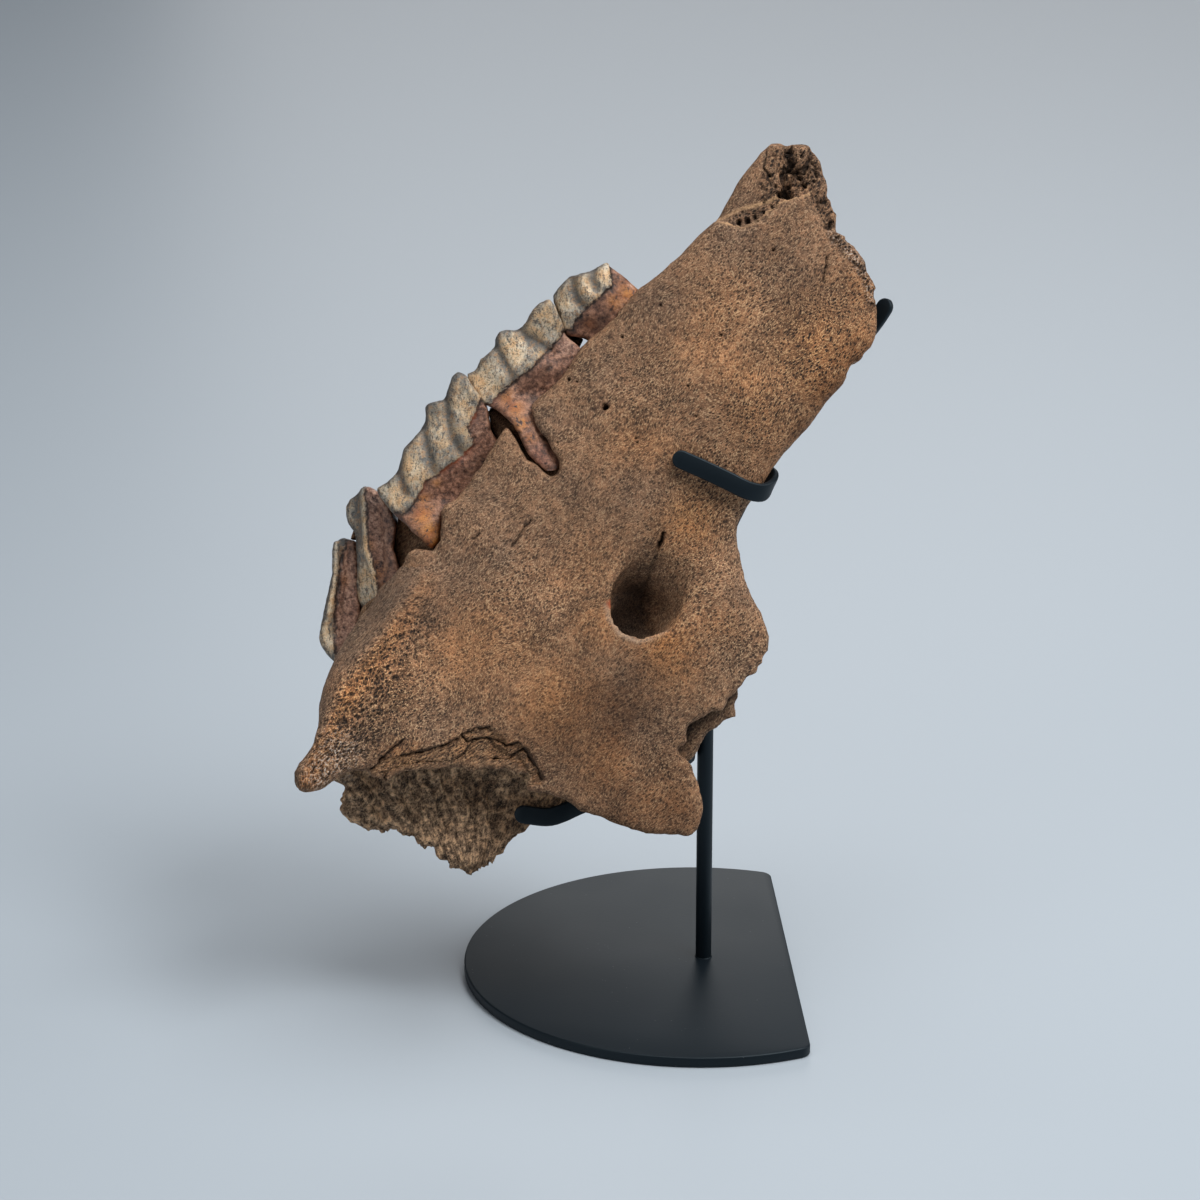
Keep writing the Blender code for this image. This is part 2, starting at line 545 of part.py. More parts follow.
def valley_cutter(name, top, floor, buccal_end, frame):
    """A rounded trough from the chewing edge down into the crown, open towards the palate."""
    top, floor = Vector((*top, 0)), Vector((*floor, 0))
    down = (floor - top).normalized()
    across = Vector((-down.y, down.x, 0))
    start = top - down * 8
    radius = VALLEY_WIDTH / 2
    section = []
    for k in range(VALLEY_SIDES + 1):
        angle = math.pi * k / VALLEY_SIDES
        section.append(floor + across * radius * math.cos(angle) + down * radius * math.sin(angle))
    section += [start - across * radius * VALLEY_FLARE, start + across * radius * VALLEY_FLARE]
    count = len(section)
    points = [(p.x, p.y, buccal_end) for p in section] + [(p.x, p.y, -120) for p in section]
    faces = [list(range(count)), list(range(count, 2 * count))]
    faces += [[k, (k + 1) % count, (k + 1) % count + count, k + count] for k in range(count)]
    return add_object(name, [(points, faces)], frame)


def tooth(name, sizes, frame, finish):
    """A tooth with its roots. The shell comes back too, because its socket is cut to it."""

    def outer(points):
        distance, side = away_from(points, sizes["enamel"])
        crown = np.clip(side * distance / ENAMEL_SLOPE, -0.5, 0.5) * ENAMEL_STEP
        return spot_surface(sizes["outer"])(points) + crown - grooves(
            points, sizes["furrows"], FURROW_DEPTH, FURROW_WIDTH
        )

    shell = relief(
        sizes["outline"], outer, spot_surface(sizes["inner"]), TOOTH_STEP, rounding=1.6, taper=TOOTH_TAPER
    )
    made = add_object(name, [shell], frame, finish)
    for number, (top, floor, buccal_end) in enumerate(sizes["valleys"]):
        cut(made, valley_cutter(f"{name}_valley_{number}", top, floor, buccal_end, frame))
    thinned(made, TOOTH_SHARE)
    return shell


def one_skin(made, size):
    skin = made.modifiers.new("One skin", "REMESH")
    skin.mode = "VOXEL"
    skin.voxel_size = size * MM


def thinned(made, share):
    fewer = made.modifiers.new("Fewer triangles", "DECIMATE")
    fewer.ratio = share


def grown(name, shell, by, frame):
    """A copy of a shell, every point moved out along its normal."""
    cutter = add_object(name, [shell], frame)
    shape = bmesh.new()
    shape.from_mesh(cutter.data)
    shape.normal_update()
    moves = [(vert, vert.normal * by * MM) for vert in shape.verts]
    for vert, move in moves:
        vert.co += move
    shape.to_mesh(cutter.data)
    shape.free()
    return cutter


def smooth_path(points, step):
    """Points every few millimetres on a smooth curve through the given ones."""
    points = [Vector(point) for point in points]
    padded = [2 * points[0] - points[1], *points, 2 * points[-1] - points[-2]]
    path = []
    for before, start, end, after in zip(padded, padded[1:], padded[2:], padded[3:]):
        count = max(1, round((end - start).length / step))
        for k in range(count):
            t = k / count
            path.append(
                0.5 * (2 * start + (end - before) * t + (2 * before - 5 * start + 4 * end - after) * t**2
                       + (3 * start - before - 3 * end + after) * t**3)
            )
    path.append(points[-1])
    return path


def flat_bar(route, across, rounded, step=BAR_STEP):
    """A bent flat bar: a thin oblong section carried along a smooth path, its tips rounded."""
    path = smooth_path(route, step)
    round_start, round_end = rounded
    half = BAR_WIDTH / 2
    if round_end:
        path = path[:-1] + tip_points(path[-2], path[-1], half)
    if round_start:
        path = tip_points(path[1], path[0], half)[::-1] + path[1:]
    shares = [1.0] * len(path)
    for k, point in enumerate(path):
        for is_round, end in ((round_end, path[-1]), (round_start, path[0])):
            reach = (point - end).length
            if is_round and reach < half:
                shares[k] = max(0.12, math.sqrt(1 - (1 - reach / half) ** 2))
    first, last = (Vector(side) for side in across)
    rings = []
    for k, point in enumerate(path):
        along = (path[min(k + 1, len(path) - 1)] - path[max(k - 1, 0)]).normalized()
        out = along.cross(first.lerp(last, k / (len(path) - 1))).normalized()
        wide = out.cross(along).normalized() * half * shares[k]
        thick = out * BAR_THICKNESS / 2
        rings.append([point + wide + thick, point - wide + thick, point - wide - thick, point + wide - thick])
    vertices = [tuple(corner) for ring in rings for corner in ring]
    faces = [[3, 2, 1, 0], [len(vertices) - 4 + k for k in range(4)]]
    for ring in range(len(rings) - 1):
        for k in range(4):
            a, b = 4 * ring + k, 4 * ring + (k + 1) % 4
            faces.append([a, b, b + 4, a + 4])
    return vertices, faces


def tip_points(before, end, radius):
    """Points closer and closer together along the last half width of a bar."""
    back = (before - end).normalized()
    return [end + back * radius * share for share in (1.0, 0.55, 0.25, 0.07, 0.0)]


def bevelled(made, width, segments=1):
    bevel = made.modifiers.new("Softened edges", "BEVEL")
    bevel.width = width * MM
    bevel.segments = segments
    bevel.limit_method = "ANGLE"
    bevel.angle_limit = math.radians(50)


def rounded_look(made):
    made.data.shade_smooth()
    made.data.set_sharp_from_angle(angle=SHARP_ANGLE)


def prism(outline, low, high):
    """A closed solid straight up from an outline."""
    count = len(outline)
    points = [(u, v, low) for u, v in outline] + [(u, v, high) for u, v in outline]
    faces = [list(range(count))[::-1], list(range(count, 2 * count))]
    faces += [[k, (k + 1) % count, (k + 1) % count + count, k + count] for k in range(count)]
    return points, faces


def base_plate(frame, finish):
    """A round plate cut off by a chord, its two corners rounded, its top edge eased."""
    corner_middle = PLATE_CHORD - PLATE_CORNER
    corner_angle = math.acos(corner_middle / (PLATE_RADIUS - PLATE_CORNER))
    corner_up = (PLATE_RADIUS - PLATE_CORNER) * math.sin(corner_angle)
    corner = []
    for k in range(CORNER_SIDES + 1):
        angle = corner_angle * k / CORNER_SIDES
        across, along = PLATE_CORNER * math.cos(angle), PLATE_CORNER * math.sin(angle)
        corner.append((corner_middle + across, corner_up + along))
    outline = list(corner)
    for k in range(1, PLATE_SIDES):
        angle = corner_angle + (math.tau - 2 * corner_angle) * k / PLATE_SIDES
        outline.append((PLATE_RADIUS * math.cos(angle), PLATE_RADIUS * math.sin(angle)))
    outline += [(u, -v) for u, v in corner[::-1]]
    made = add_object("base_plate", [prism(outline, 0, PLATE_THICKNESS)], frame, finish)
    bevelled(made, PLATE_EDGE)
    rounded_look(made)


def upright(frame, finish):
    """A round rod that stands on the plate."""
    angles = [math.tau * k / ROD_SIDES for k in range(ROD_SIDES)]
    middle_u, middle_v = ROD_PLACE
    radius = ROD_DIAMETER / 2
    outline = [(middle_u + radius * math.cos(angle), middle_v + radius * math.sin(angle)) for angle in angles]
    made = add_object("upright", [prism(outline, PLATE_THICKNESS + GAP, ROD_TOP)], frame, finish)
    rounded_look(made)


clear_scene()
stand = empty("stand", (*STAND_PLACE, 0))
face = empty("face", FACE_PLACE, (math.radians(90) - FACE_LEAN, 0, FACE_TURN), stand)
bone_finish = material("Fossil bone", (0.19, 0.115, 0.07), 0.85)
tooth_finish = material("Fossil tooth", (0.36, 0.30, 0.23), 0.45)
steel_finish = material("Black powder coat", (0.012, 0.013, 0.015), 0.5)

maxilla = add_object("maxilla", bone_shells(), face, bone_finish)
one_skin(maxilla, SKIN_SIZE)
for hollow_name, hollow_sizes in HOLLOWS.items():
    cut(maxilla, hollow_cutter(hollow_name, **hollow_sizes, frame=face))
thinned(maxilla, BONE_SHARE)
cut(maxilla, canal_cutter("canal", CANAL, face))
cut(maxilla, canal_cutter("canal_fan", CANAL_FAN, face))
for tooth_name, tooth_sizes in TEETH.items():
    tooth_shell = tooth(tooth_name, tooth_sizes, face, tooth_finish)
    socket = grown(f"{tooth_name}_socket", tooth_shell, SOCKET_GAP, face)
    one_skin(socket, SKIN_SIZE)
    thinned(socket, SOCKET_SHARE)
    cut(maxilla, socket)

base_plate(stand, steel_finish)
upright(stand, steel_finish)
for bar_name, bar_sizes in BARS.items():
    add_object(bar_name, [flat_bar(**bar_sizes)], face, steel_finish)
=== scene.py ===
"""The left upper jaw bone of a woolly rhinoceros, a broken fossil with five cheek teeth, on its stand."""

import math

import bmesh
import bpy
import numpy as np
from mathutils import Euler, Matrix, Vector, geometry


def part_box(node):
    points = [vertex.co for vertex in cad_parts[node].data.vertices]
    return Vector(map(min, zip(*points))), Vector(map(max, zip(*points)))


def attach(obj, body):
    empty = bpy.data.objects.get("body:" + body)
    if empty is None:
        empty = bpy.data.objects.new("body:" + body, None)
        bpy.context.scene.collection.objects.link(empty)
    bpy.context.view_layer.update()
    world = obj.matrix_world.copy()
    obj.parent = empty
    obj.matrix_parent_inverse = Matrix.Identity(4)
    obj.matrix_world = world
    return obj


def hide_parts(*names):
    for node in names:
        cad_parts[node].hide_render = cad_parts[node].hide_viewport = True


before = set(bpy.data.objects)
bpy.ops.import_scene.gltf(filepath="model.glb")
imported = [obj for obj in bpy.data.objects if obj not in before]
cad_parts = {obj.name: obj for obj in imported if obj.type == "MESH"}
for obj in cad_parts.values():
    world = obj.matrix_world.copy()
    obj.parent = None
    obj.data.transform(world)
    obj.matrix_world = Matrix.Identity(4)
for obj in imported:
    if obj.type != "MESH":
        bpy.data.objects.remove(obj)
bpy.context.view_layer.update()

# The base plate: 4 mm steel plate cut round with one straight side, its two corners rounded and its
# top edge eased, then powder-coated satin black. Everything else stands on it.
MM = 0.001
plate_low, plate_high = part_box("base_plate")
plate_radius = (plate_high.y - plate_low.y) / 2
plate_middle = plate_low.x + plate_radius
plate_chord = plate_high.x - plate_middle
plate_corner = 5.5 * MM
CORNER_STEPS = 10
RIM_STEPS = 168


def only(piece):
    """Selects one piece alone and makes it the active one."""
    bpy.ops.object.select_all(action="DESELECT")
    piece.select_set(True)
    bpy.context.view_layer.objects.active = piece


def edit(piece):
    only(piece)
    bpy.ops.object.mode_set(mode="EDIT")


def done():
    bpy.ops.object.mode_set(mode="OBJECT")


def apply_modifiers(piece):
    only(piece)
    for modifier in list(piece.modifiers):
        bpy.ops.object.modifier_apply(modifier=modifier.name)


def rounded_look(piece, angle=35):
    only(piece)
    bpy.ops.object.shade_smooth_by_angle(angle=math.radians(angle))


def ease_edges(piece, width):
    """Bevels a piece's sharp edges by a width in mm."""
    eased = piece.modifiers.new("Eased edge", "BEVEL")
    eased.width = width * MM
    eased.segments = 3
    eased.limit_method = "ANGLE"
    eased.angle_limit = math.radians(50)
    apply_modifiers(piece)


def group(name, inputs, outputs):
    """An empty shader node group with named inputs and outputs."""
    tree = bpy.data.node_groups.new(name, "ShaderNodeTree")
    for label, kind, value in inputs:
        socket = tree.interface.new_socket(label, in_out="INPUT", socket_type=kind)
        if value is not None:
            socket.default_value = value
    for label, kind in outputs:
        tree.interface.new_socket(label, in_out="OUTPUT", socket_type=kind)
    return tree, tree.nodes.new("NodeGroupInput"), tree.nodes.new("NodeGroupOutput")


def feed(tree, socket, value):
    """Joins another node's socket to an input, or sets the input to a value."""
    if isinstance(value, bpy.types.NodeSocket):
        tree.links.new(value, socket)
    else:
        socket.default_value = value


def node(tree, kind, settings=None, **inputs):
    """A node with its settings and its inputs, each given by its label or, as i1, by its number."""
    made = tree.nodes.new("ShaderNode" + kind)
    for name, value in (settings or {}).items():
        setattr(made, name, value)
    for name, value in inputs.items():
        numbered = name[0] == "i" and name[1:].isdigit()
        feed(tree, made.inputs[int(name[1:]) if numbered else name], value)
    return made


def cloudy(tree, place, scale, detail, roughness=0.5):
    """Soft random values from 0 to 1, in lumps that get smaller as the scale grows."""
    made = node(tree, "TexNoise", Vector=place, Scale=scale, Detail=detail, Roughness=roughness)
    return made.outputs["Fac"]


def ramp(tree, value, stops):
    """A colour ramp. Its stops are (place, colour)."""
    made = tree.nodes.new("ShaderNodeValToRGB")
    tree.links.new(value, made.inputs["Fac"])
    band = made.color_ramp
    while len(band.elements) < len(stops):
        band.elements.new(1)
    for element, (place, colour) in zip(band.elements, stops):
        element.position = place
        element.color = (*colour, 1) if not isinstance(colour, float) else (colour, colour, colour, 1)
    return made.outputs["Color"]


def mix(tree, share, first, second, blend="MIX"):
    made = tree.nodes.new("ShaderNodeMix")
    made.data_type = "RGBA"
    made.blend_type = blend
    feed(tree, made.inputs[0], share)
    for index, colour in ((6, first), (7, second)):
        feed(tree, made.inputs[index], (*colour, 1) if isinstance(colour, tuple) else colour)
    return made.outputs[2]


def calc(tree, operation, first, second=0.0, third=0.0, clamp=False):
    made = tree.nodes.new("ShaderNodeMath")
    made.operation = operation
    made.use_clamp = clamp
    for socket, value in zip(made.inputs, (first, second, third)):
        feed(tree, socket, value)
    return made.outputs[0]


def times(tree, first, second, clamp=False):
    return calc(tree, "MULTIPLY", first, second, clamp=clamp)


def scaled(tree, value, gain, offset, clamp=False):
    return calc(tree, "MULTIPLY_ADD", value, gain, offset, clamp=clamp)


def finish(name):
    """A new material: its node tree and its Principled BSDF."""
    made = bpy.data.materials.new(name)
    made.use_nodes = True
    return made, made.node_tree, made.node_tree.nodes["Principled BSDF"]


def surface(tree, shader, colour, rough, height, strength, distance):
    """Joins a material's colour, roughness and fine relief to its shader."""
    bump = node(tree, "Bump", Strength=strength, Distance=distance, Height=height)
    feed(tree, shader.inputs["Base Color"], colour)
    feed(tree, shader.inputs["Roughness"], rough)
    feed(tree, shader.inputs["Normal"], bump.outputs["Normal"])


def powder_coat():
    made, tree, shader = finish("Black powder coat")
    place = tree.nodes.new("ShaderNodeTexCoord").outputs["Object"]
    peel = cloudy(tree, place, 900, 2)
    cloud = cloudy(tree, place, 18, 3)
    specks = node(tree, "TexVoronoi", Vector=place, Scale=420).outputs["Distance"]
    chosen = cloudy(tree, place, 95, 1)
    dust = times(tree, calc(tree, "LESS_THAN", specks, 0.10), calc(tree, "GREATER_THAN", chosen, 0.64))
    colour = mix(tree, cloud, (0.0036, 0.0062, 0.0088), (0.0056, 0.0095, 0.0135))
    colour = mix(tree, times(tree, dust, 0.22), colour, (0.30, 0.31, 0.32))
    surface(tree, shader, colour, scaled(tree, cloud, 0.10, 0.40), peel, 0.10, 0.0002)
    shader.inputs["Specular IOR Level"].default_value = 0.26
    shader.inputs["Specular Tint"].default_value = (0.74, 0.91, 1.0, 1)
    return made


COAT = powder_coat()


def stand_piece(piece, node_name):
    piece.data.materials.clear()
    piece.data.materials.append(COAT)
    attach(piece, "root")
    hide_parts(node_name)


corner_turn = math.acos((plate_chord - plate_corner) / (plate_radius - plate_corner))
corner_up = (plate_radius - plate_corner) * math.sin(corner_turn)
corner = []
for k in range(CORNER_STEPS + 1):
    angle = corner_turn * k / CORNER_STEPS
    corner.append((plate_chord - plate_corner + plate_corner * math.cos(angle),
                   corner_up + plate_corner * math.sin(angle)))
rim = list(corner)
for k in range(1, RIM_STEPS):
    angle = corner_turn + (math.tau - 2 * corner_turn) * k / RIM_STEPS
    rim.append((plate_radius * math.cos(angle), plate_radius * math.sin(angle)))
rim += [(x, -y) for x, y in corner[::-1]]
bpy.ops.mesh.primitive_circle_add(vertices=len(rim), fill_type="NGON", enter_editmode=False)
plate = bpy.context.object
plate.name = "stand_plate"
for vert, (x, y) in zip(plate.data.vertices, rim):
    vert.co = (plate_middle + x, y, 0)
edit(plate)
bpy.ops.mesh.select_all(action="SELECT")
bpy.ops.mesh.extrude_region_move(TRANSFORM_OT_translate={"value": (0, 0, plate_high.z)})
bpy.ops.mesh.select_all(action="SELECT")
bpy.ops.mesh.normals_make_consistent(inside=False)
done()
ease_edges(plate, 0.6)
rounded_look(plate)
stand_piece(plate, "base_plate")

# The upright: a 6 mm round steel rod, cut square, welded to the plate at its foot and powder-coated
# with it. It rises behind the bone, where the bars are welded to it.
rod_low, rod_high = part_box("upright")
rod_middle = (rod_low + rod_high) / 2
bpy.ops.object.select_all(action="DESELECT")
bpy.ops.mesh.primitive_cylinder_add(
    vertices=64, radius=(rod_high.x - rod_low.x) / 2, depth=rod_high.z - plate_high.z + 0.05 * MM,
    location=(rod_middle.x, rod_middle.y, (rod_high.z + plate_high.z) / 2),
)
rod = bpy.context.object
rod.name = "stand_upright"
bpy.ops.object.transform_apply(location=True, rotation=True, scale=True)
ease_edges(rod, 0.4)
bpy.ops.object.select_all(action="DESELECT")
bpy.ops.mesh.primitive_torus_add(
    major_segments=64, minor_segments=12, major_radius=3.0 * MM, minor_radius=0.3 * MM,
    location=(rod_middle.x, rod_middle.y, plate_high.z),
)
weld = bpy.context.object
weld.name = "stand_weld"
bpy.ops.object.transform_apply(location=True, rotation=True, scale=True)
for piece in (rod, weld):
    rounded_look(piece, 40)
stand_piece(rod, "upright")
weld.data.materials.append(COAT)
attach(weld, "root")

# The bars: 6.8 x 2.2 mm flat steel with rolled edges, bent cold to the bone and welded to the rod,
# their free tips rounded. One runs up behind the bone, one clasps its side and one hooks under it.
# The bone's face: its zero point in mm, and how the face leans and turns. Paths and outlines are laid
# out on it as (across, up) or (across, up, out) in mm.
FACE = Matrix.LocRotScale(
    Vector((0.69, -19.9, 156.2)) * MM, Euler((math.radians(73), 0, math.radians(-3))), Vector((MM, MM, MM))
)
# Each bar: its path, which way its width lies at either end, and which of its ends are rounded.
BARS = {
    "upper_prong": (
        [(39.5, -31.1, -28.9), (39.5, -8.2, -21.9), (41, 6, -19.2), (46.2, 24, -19.4), (50.4, 33.5, -19.8),
         (58, 47.5, -20.4), (70, 66, -20.8), (82, 80, -20.4), (93, 92, -19.8), (101, 101.5, -18.6),
         (106.5, 110, -16.3)],
        [(1, 0, 0), (0.62, -0.5, 0.6)], (True, True),
    ),
    "side_strap": (
        [(58, 46.8, -17.6), (61.3, 46, -15.5), (63.2, 44, -10.5), (62.4, 41.2, -4), (59, 39.2, 0.4),
         (53.5, 40.2, 3), (46, 43.8, 4), (37, 48, 4), (26.5, 52.6, 3.8)],
        [(0.42, 0.91, 0), (0.42, 0.91, 0)], (False, True),
    ),
    "lower_hook": (
        [(35, -56, -46), (34.9, -57, -40), (34, -58.6, -34), (29, -61, -27), (18, -65.5, -19.5),
         (4, -71.5, -15.5), (-8.5, -76.6, -12.5), (-14, -79, -11), (-20, -80.4, -10.8), (-31.5, -79, -11.6)],
        [(0.1, 1, 0), (0.1, 1, 0)], (False, True),
    ),
}
BAR_HALF = 3.4
BAR_THICK_HALF = 1.1
BAR_ROLLED = 0.7
BAR_STEP = 1.6


def smooth_path(points, step):
    points = [Vector(point) for point in points]
    padded = [2 * points[0] - points[1], *points, 2 * points[-1] - points[-2]]
    path = []
    for before, start, end, after in zip(padded, padded[1:], padded[2:], padded[3:]):
        count = max(1, round((end - start).length / step))
        for k in range(count):
            t = k / count
            bend = (2 * before - 5 * start + 4 * end - after) * t**2
            twist = (3 * start - before - 3 * end + after) * t**3
            path.append(0.5 * (2 * start + (end - before) * t + bend + twist))
    path.append(points[-1])
    return path


def rolled_section(half):
    """Half the width and the bar's thickness as a closed outline with rounded edges."""
    roll = min(BAR_ROLLED, half * 0.9)
    outline = []
    for side_u, side_v in ((1, 1), (-1, 1), (-1, -1), (1, -1)):
        arc = []
        for k in range(4):
            angle = math.pi / 2 * k / 3
            arc.append((side_u * (half - roll + roll * math.cos(angle)),
                        side_v * (BAR_THICK_HALF - BAR_ROLLED + BAR_ROLLED * math.sin(angle))))
        outline += arc if side_u * side_v > 0 else arc[::-1]
    return outline


def bent_bar(route, across, rounded):
    path = smooth_path(route, BAR_STEP)
    tip = [BAR_HALF * share for share in (1.0, 0.8, 0.62, 0.45, 0.3, 0.18, 0.09, 0.03, 0.0)]
    if rounded[1]:
        back = (path[-3] - path[-1]).normalized()
        path = path[:-2] + [path[-1] + back * reach for reach in tip]
    if rounded[0]:
        back = (path[2] - path[0]).normalized()
        path = [path[0] + back * reach for reach in tip[::-1]] + path[2:]
    first, last = (Vector(side) for side in across)
    rings = []
    for k, point in enumerate(path):
        share = 1.0
        for is_round, end in ((rounded[1], path[-1]), (rounded[0], path[0])):
            reach = (point - end).length
            if is_round and reach < BAR_HALF:
                share = max(0.16, math.sqrt(1 - (1 - reach / BAR_HALF) ** 2))
        along = (path[min(k + 1, len(path) - 1)] - path[max(k - 1, 0)]).normalized()
        out = along.cross(first.lerp(last, k / (len(path) - 1))).normalized()
        wide = out.cross(along).normalized()
        rings.append([point + wide * a + out * b for a, b in rolled_section(BAR_HALF * share)])
    count = len(rings[0])
    vertices = [corner for ring in rings for corner in ring]
    faces = [list(range(count))[::-1], list(range(len(vertices) - count, len(vertices)))]
    for ring in range(len(rings) - 1):
        for k in range(count):
            a, b = count * ring + k, count * ring + (k + 1) % count
            faces.append([a, b, b + count, a + count])
    return vertices, faces


def from_shells(name, shells):
    """An object from shells laid out on the bone's face, its place in its mesh."""
    points = []
    faces = []
    for shell_points, shell_faces in shells:
        first = len(points)
        points += [FACE @ Vector(point) for point in shell_points]
        faces += [[first + index for index in face] for face in shell_faces]
    mesh = bpy.data.meshes.new(name)
    mesh.from_pydata(points, [], faces)
    made = bpy.data.objects.new(name, mesh)
    bpy.context.scene.collection.objects.link(made)
    edit(made)
    bpy.ops.mesh.select_all(action="SELECT")
    bpy.ops.mesh.normals_make_consistent(inside=False)
    done()
    return made


for bar_name, bar_sizes in BARS.items():
    bar = from_shells(f"stand_{bar_name}", [bent_bar(*bar_sizes)])
    rounded_look(bar, 45)
    stand_piece(bar, bar_name)

# The maxilla: one bone, its outer face smooth and full of fine pores, broken along its lower and
# front edges. The cheek bone's root stands out at the left, and the canal for the nerve opens in front.
OUTER_PLATE = [
    (42.5, 138.5), (47, 137.6), (51.7, 135.8), (55.8, 137), (58.9, 139.9), (62.5, 143.4), (67, 146),
    (71.6, 147), (76.3, 148), (77.8, 142.4), (80.4, 139.4), (81.4, 134.2), (84.2, 134.6), (88.5, 134),
    (90.5, 131), (93, 129.5), (95, 126), (97, 123), (98.2, 119.5), (100.8, 114), (99.8, 111.5), (101, 108),
    (101.8, 103), (101.3, 99), (101, 95.5), (98.5, 92), (97, 90.5), (94.5, 86.5), (92, 87), (91.6, 84.5),
    (90, 80), (87, 76.5), (83, 72.5), (79.5, 67), (76.5, 63), (73.5, 60), (68, 54), (63, 47.5), (58, 39.5),
    (55, 35.5), (51, 29), (50, 25), (50.5, 21), (52, 14), (53, 7.5), (55, 2.5), (57, -1.5), (59, -5),
    (61, -10), (61.5, -15.5), (61, -19), (59, -21), (59.6, -23.4), (57, -24), (58, -26.5), (56, -28),
    (54.3, -27.6), (52, -31), (49.5, -34.5), (47, -36), (46, -38.5), (44, -41), (39.5, -40.5), (38.4, -42.8),
    (36, -43.5), (33, -45.5), (32.6, -48), (31.6, -49.5), (32.4, -51.6), (31, -53), (29, -53.6), (28, -55.5),
    (31, -58), (34, -60.5), (35.5, -66.5), (37.6, -71), (38.5, -76), (37, -81), (36, -85), (33, -87),
    (26.5, -86), (21, -86.2), (16, -85.5), (6, -82), (0, -79), (-7, -77.5), (-11.5, -73), (-19.5, -70.5),
    (-26.5, -69.5), (-27.6, -67.6), (-26.5, -66), (-22.5, -62.5), (-26, -63.6), (-29.5, -63), (-34.5, -61.5),
    (-38, -61.8), (-42, -60.5), (-46.5, -62.5), (-50, -60.4), (-53.5, -59.5), (-59, -60.8), (-64.5, -61),
    (-69, -61.2), (-73.5, -62.5), (-77, -64.6), (-80.5, -64), (-83.5, -61), (-91, -60.5), (-97.5, -65.5),
    (-101, -67.6), (-105, -68), (-108, -67.4), (-109.5, -66.5), (-110, -62.5), (-108, -58), (-105.4, -54.6),
    (-103, -51), (-101.5, -44), (-102, -39), (-101, -33), (-100, -29), (-97, -21), (-92.5, -13), (-88, -6),
    (-85, -3), (-81, 4), (-76.5, 7.5), (-74, 11), (-72, 13), (-70, 17.5), (-67, 19), (-64, 18), (-61, 17),
    (-59, 20), (-58, 23), (-57.8, 28), (-57.5, 33), (-56, 35), (-53, 36), (-50, 39.5), (-47, 44), (-42, 50.5),
    (-38, 57.5), (-34, 63.5), (-32, 60.6), (-30, 58), (-29, 54.6), (-26.5, 51), (-24, 49.8), (-21, 47.5),
    (-18.6, 45.2), (-16.6, 44.8), (-14.8, 47.2), (-15.2, 51), (-18, 55.5), (-19.2, 58.4), (-22, 61),
    (-24, 65.5),
    (-25, 70.5), (-22, 74), (-18, 77), (-15, 80.5), (-11, 85), (-6.5, 92.5), (0, 98.5), (14, 113.5),
    (21, 118.5), (29, 125.5), (36, 133),
]
OUTER_FACE = [
    (16, 22, 0.5), (48, 10, -1), (60, -14, -5), (40, -28, -0.5), (20, -45, 1), (30, -78, -1), (5, -62, 2),
    (-15, -45, 5), (-30, -58, 7), (-50, -52, 13), (-75, -55, 21), (-95, -60, 29), (-108, -64, 33),
    (-10, -12, 3), (-35, -10, 5.5), (-58, -20, 11), (-72, -5, 10), (-84, -18, 17), (-94, -36, 25),
    (-102, -50, 30), (-70, 14, 3), (-55, 20, 3), (-38, 30, 2.5), (-40, 50, 0), (-20, 35, 1.5), (0, 45, 2),
    (-12, 76, -2), (15, 70, 2), (45, 60, 2), (74, 64, -4), (25, 105, 0), (8, 103, -3), (50, 100, 2.5),
    (80, 100, -1), (98, 108, -7), (60, 132, -1), (80, 138, -4), (45, 130, -2), (30, 45, 1.5),
]
INNER_FACE = [
    (16, 0, -23), (2, -15, -25), (-10, -28, -24), (-24, -40, -16), (46, 20, -9), (58, -15, -11),
    (40, -30, -8), (20, -60, -6), (32, -80, -6), (0, -72, -5), (-25, -55, -8), (-50, -50, -10),
    (-80, -50, -4), (-98, -52, 4), (-106, -64, 15), (-60, -25, -22), (-85, -20, -16), (-60, 10, -18),
    (-30, 40, -16), (0, 70, -16), (30, 60, -13), (60, 60, -13), (50, 100, -15), (90, 90, -17),
    (95, 115, -15), (70, 135, -14), (40, 128, -20), (20, 108, -20), (45, 45, -11),
]
CREST = [(-62, 12), (-71, -1), (-79, -13), (-86, -21), (-91, -29.5), (-95, -38), (-99, -45.5),
         (-103, -52), (-107, -62)]
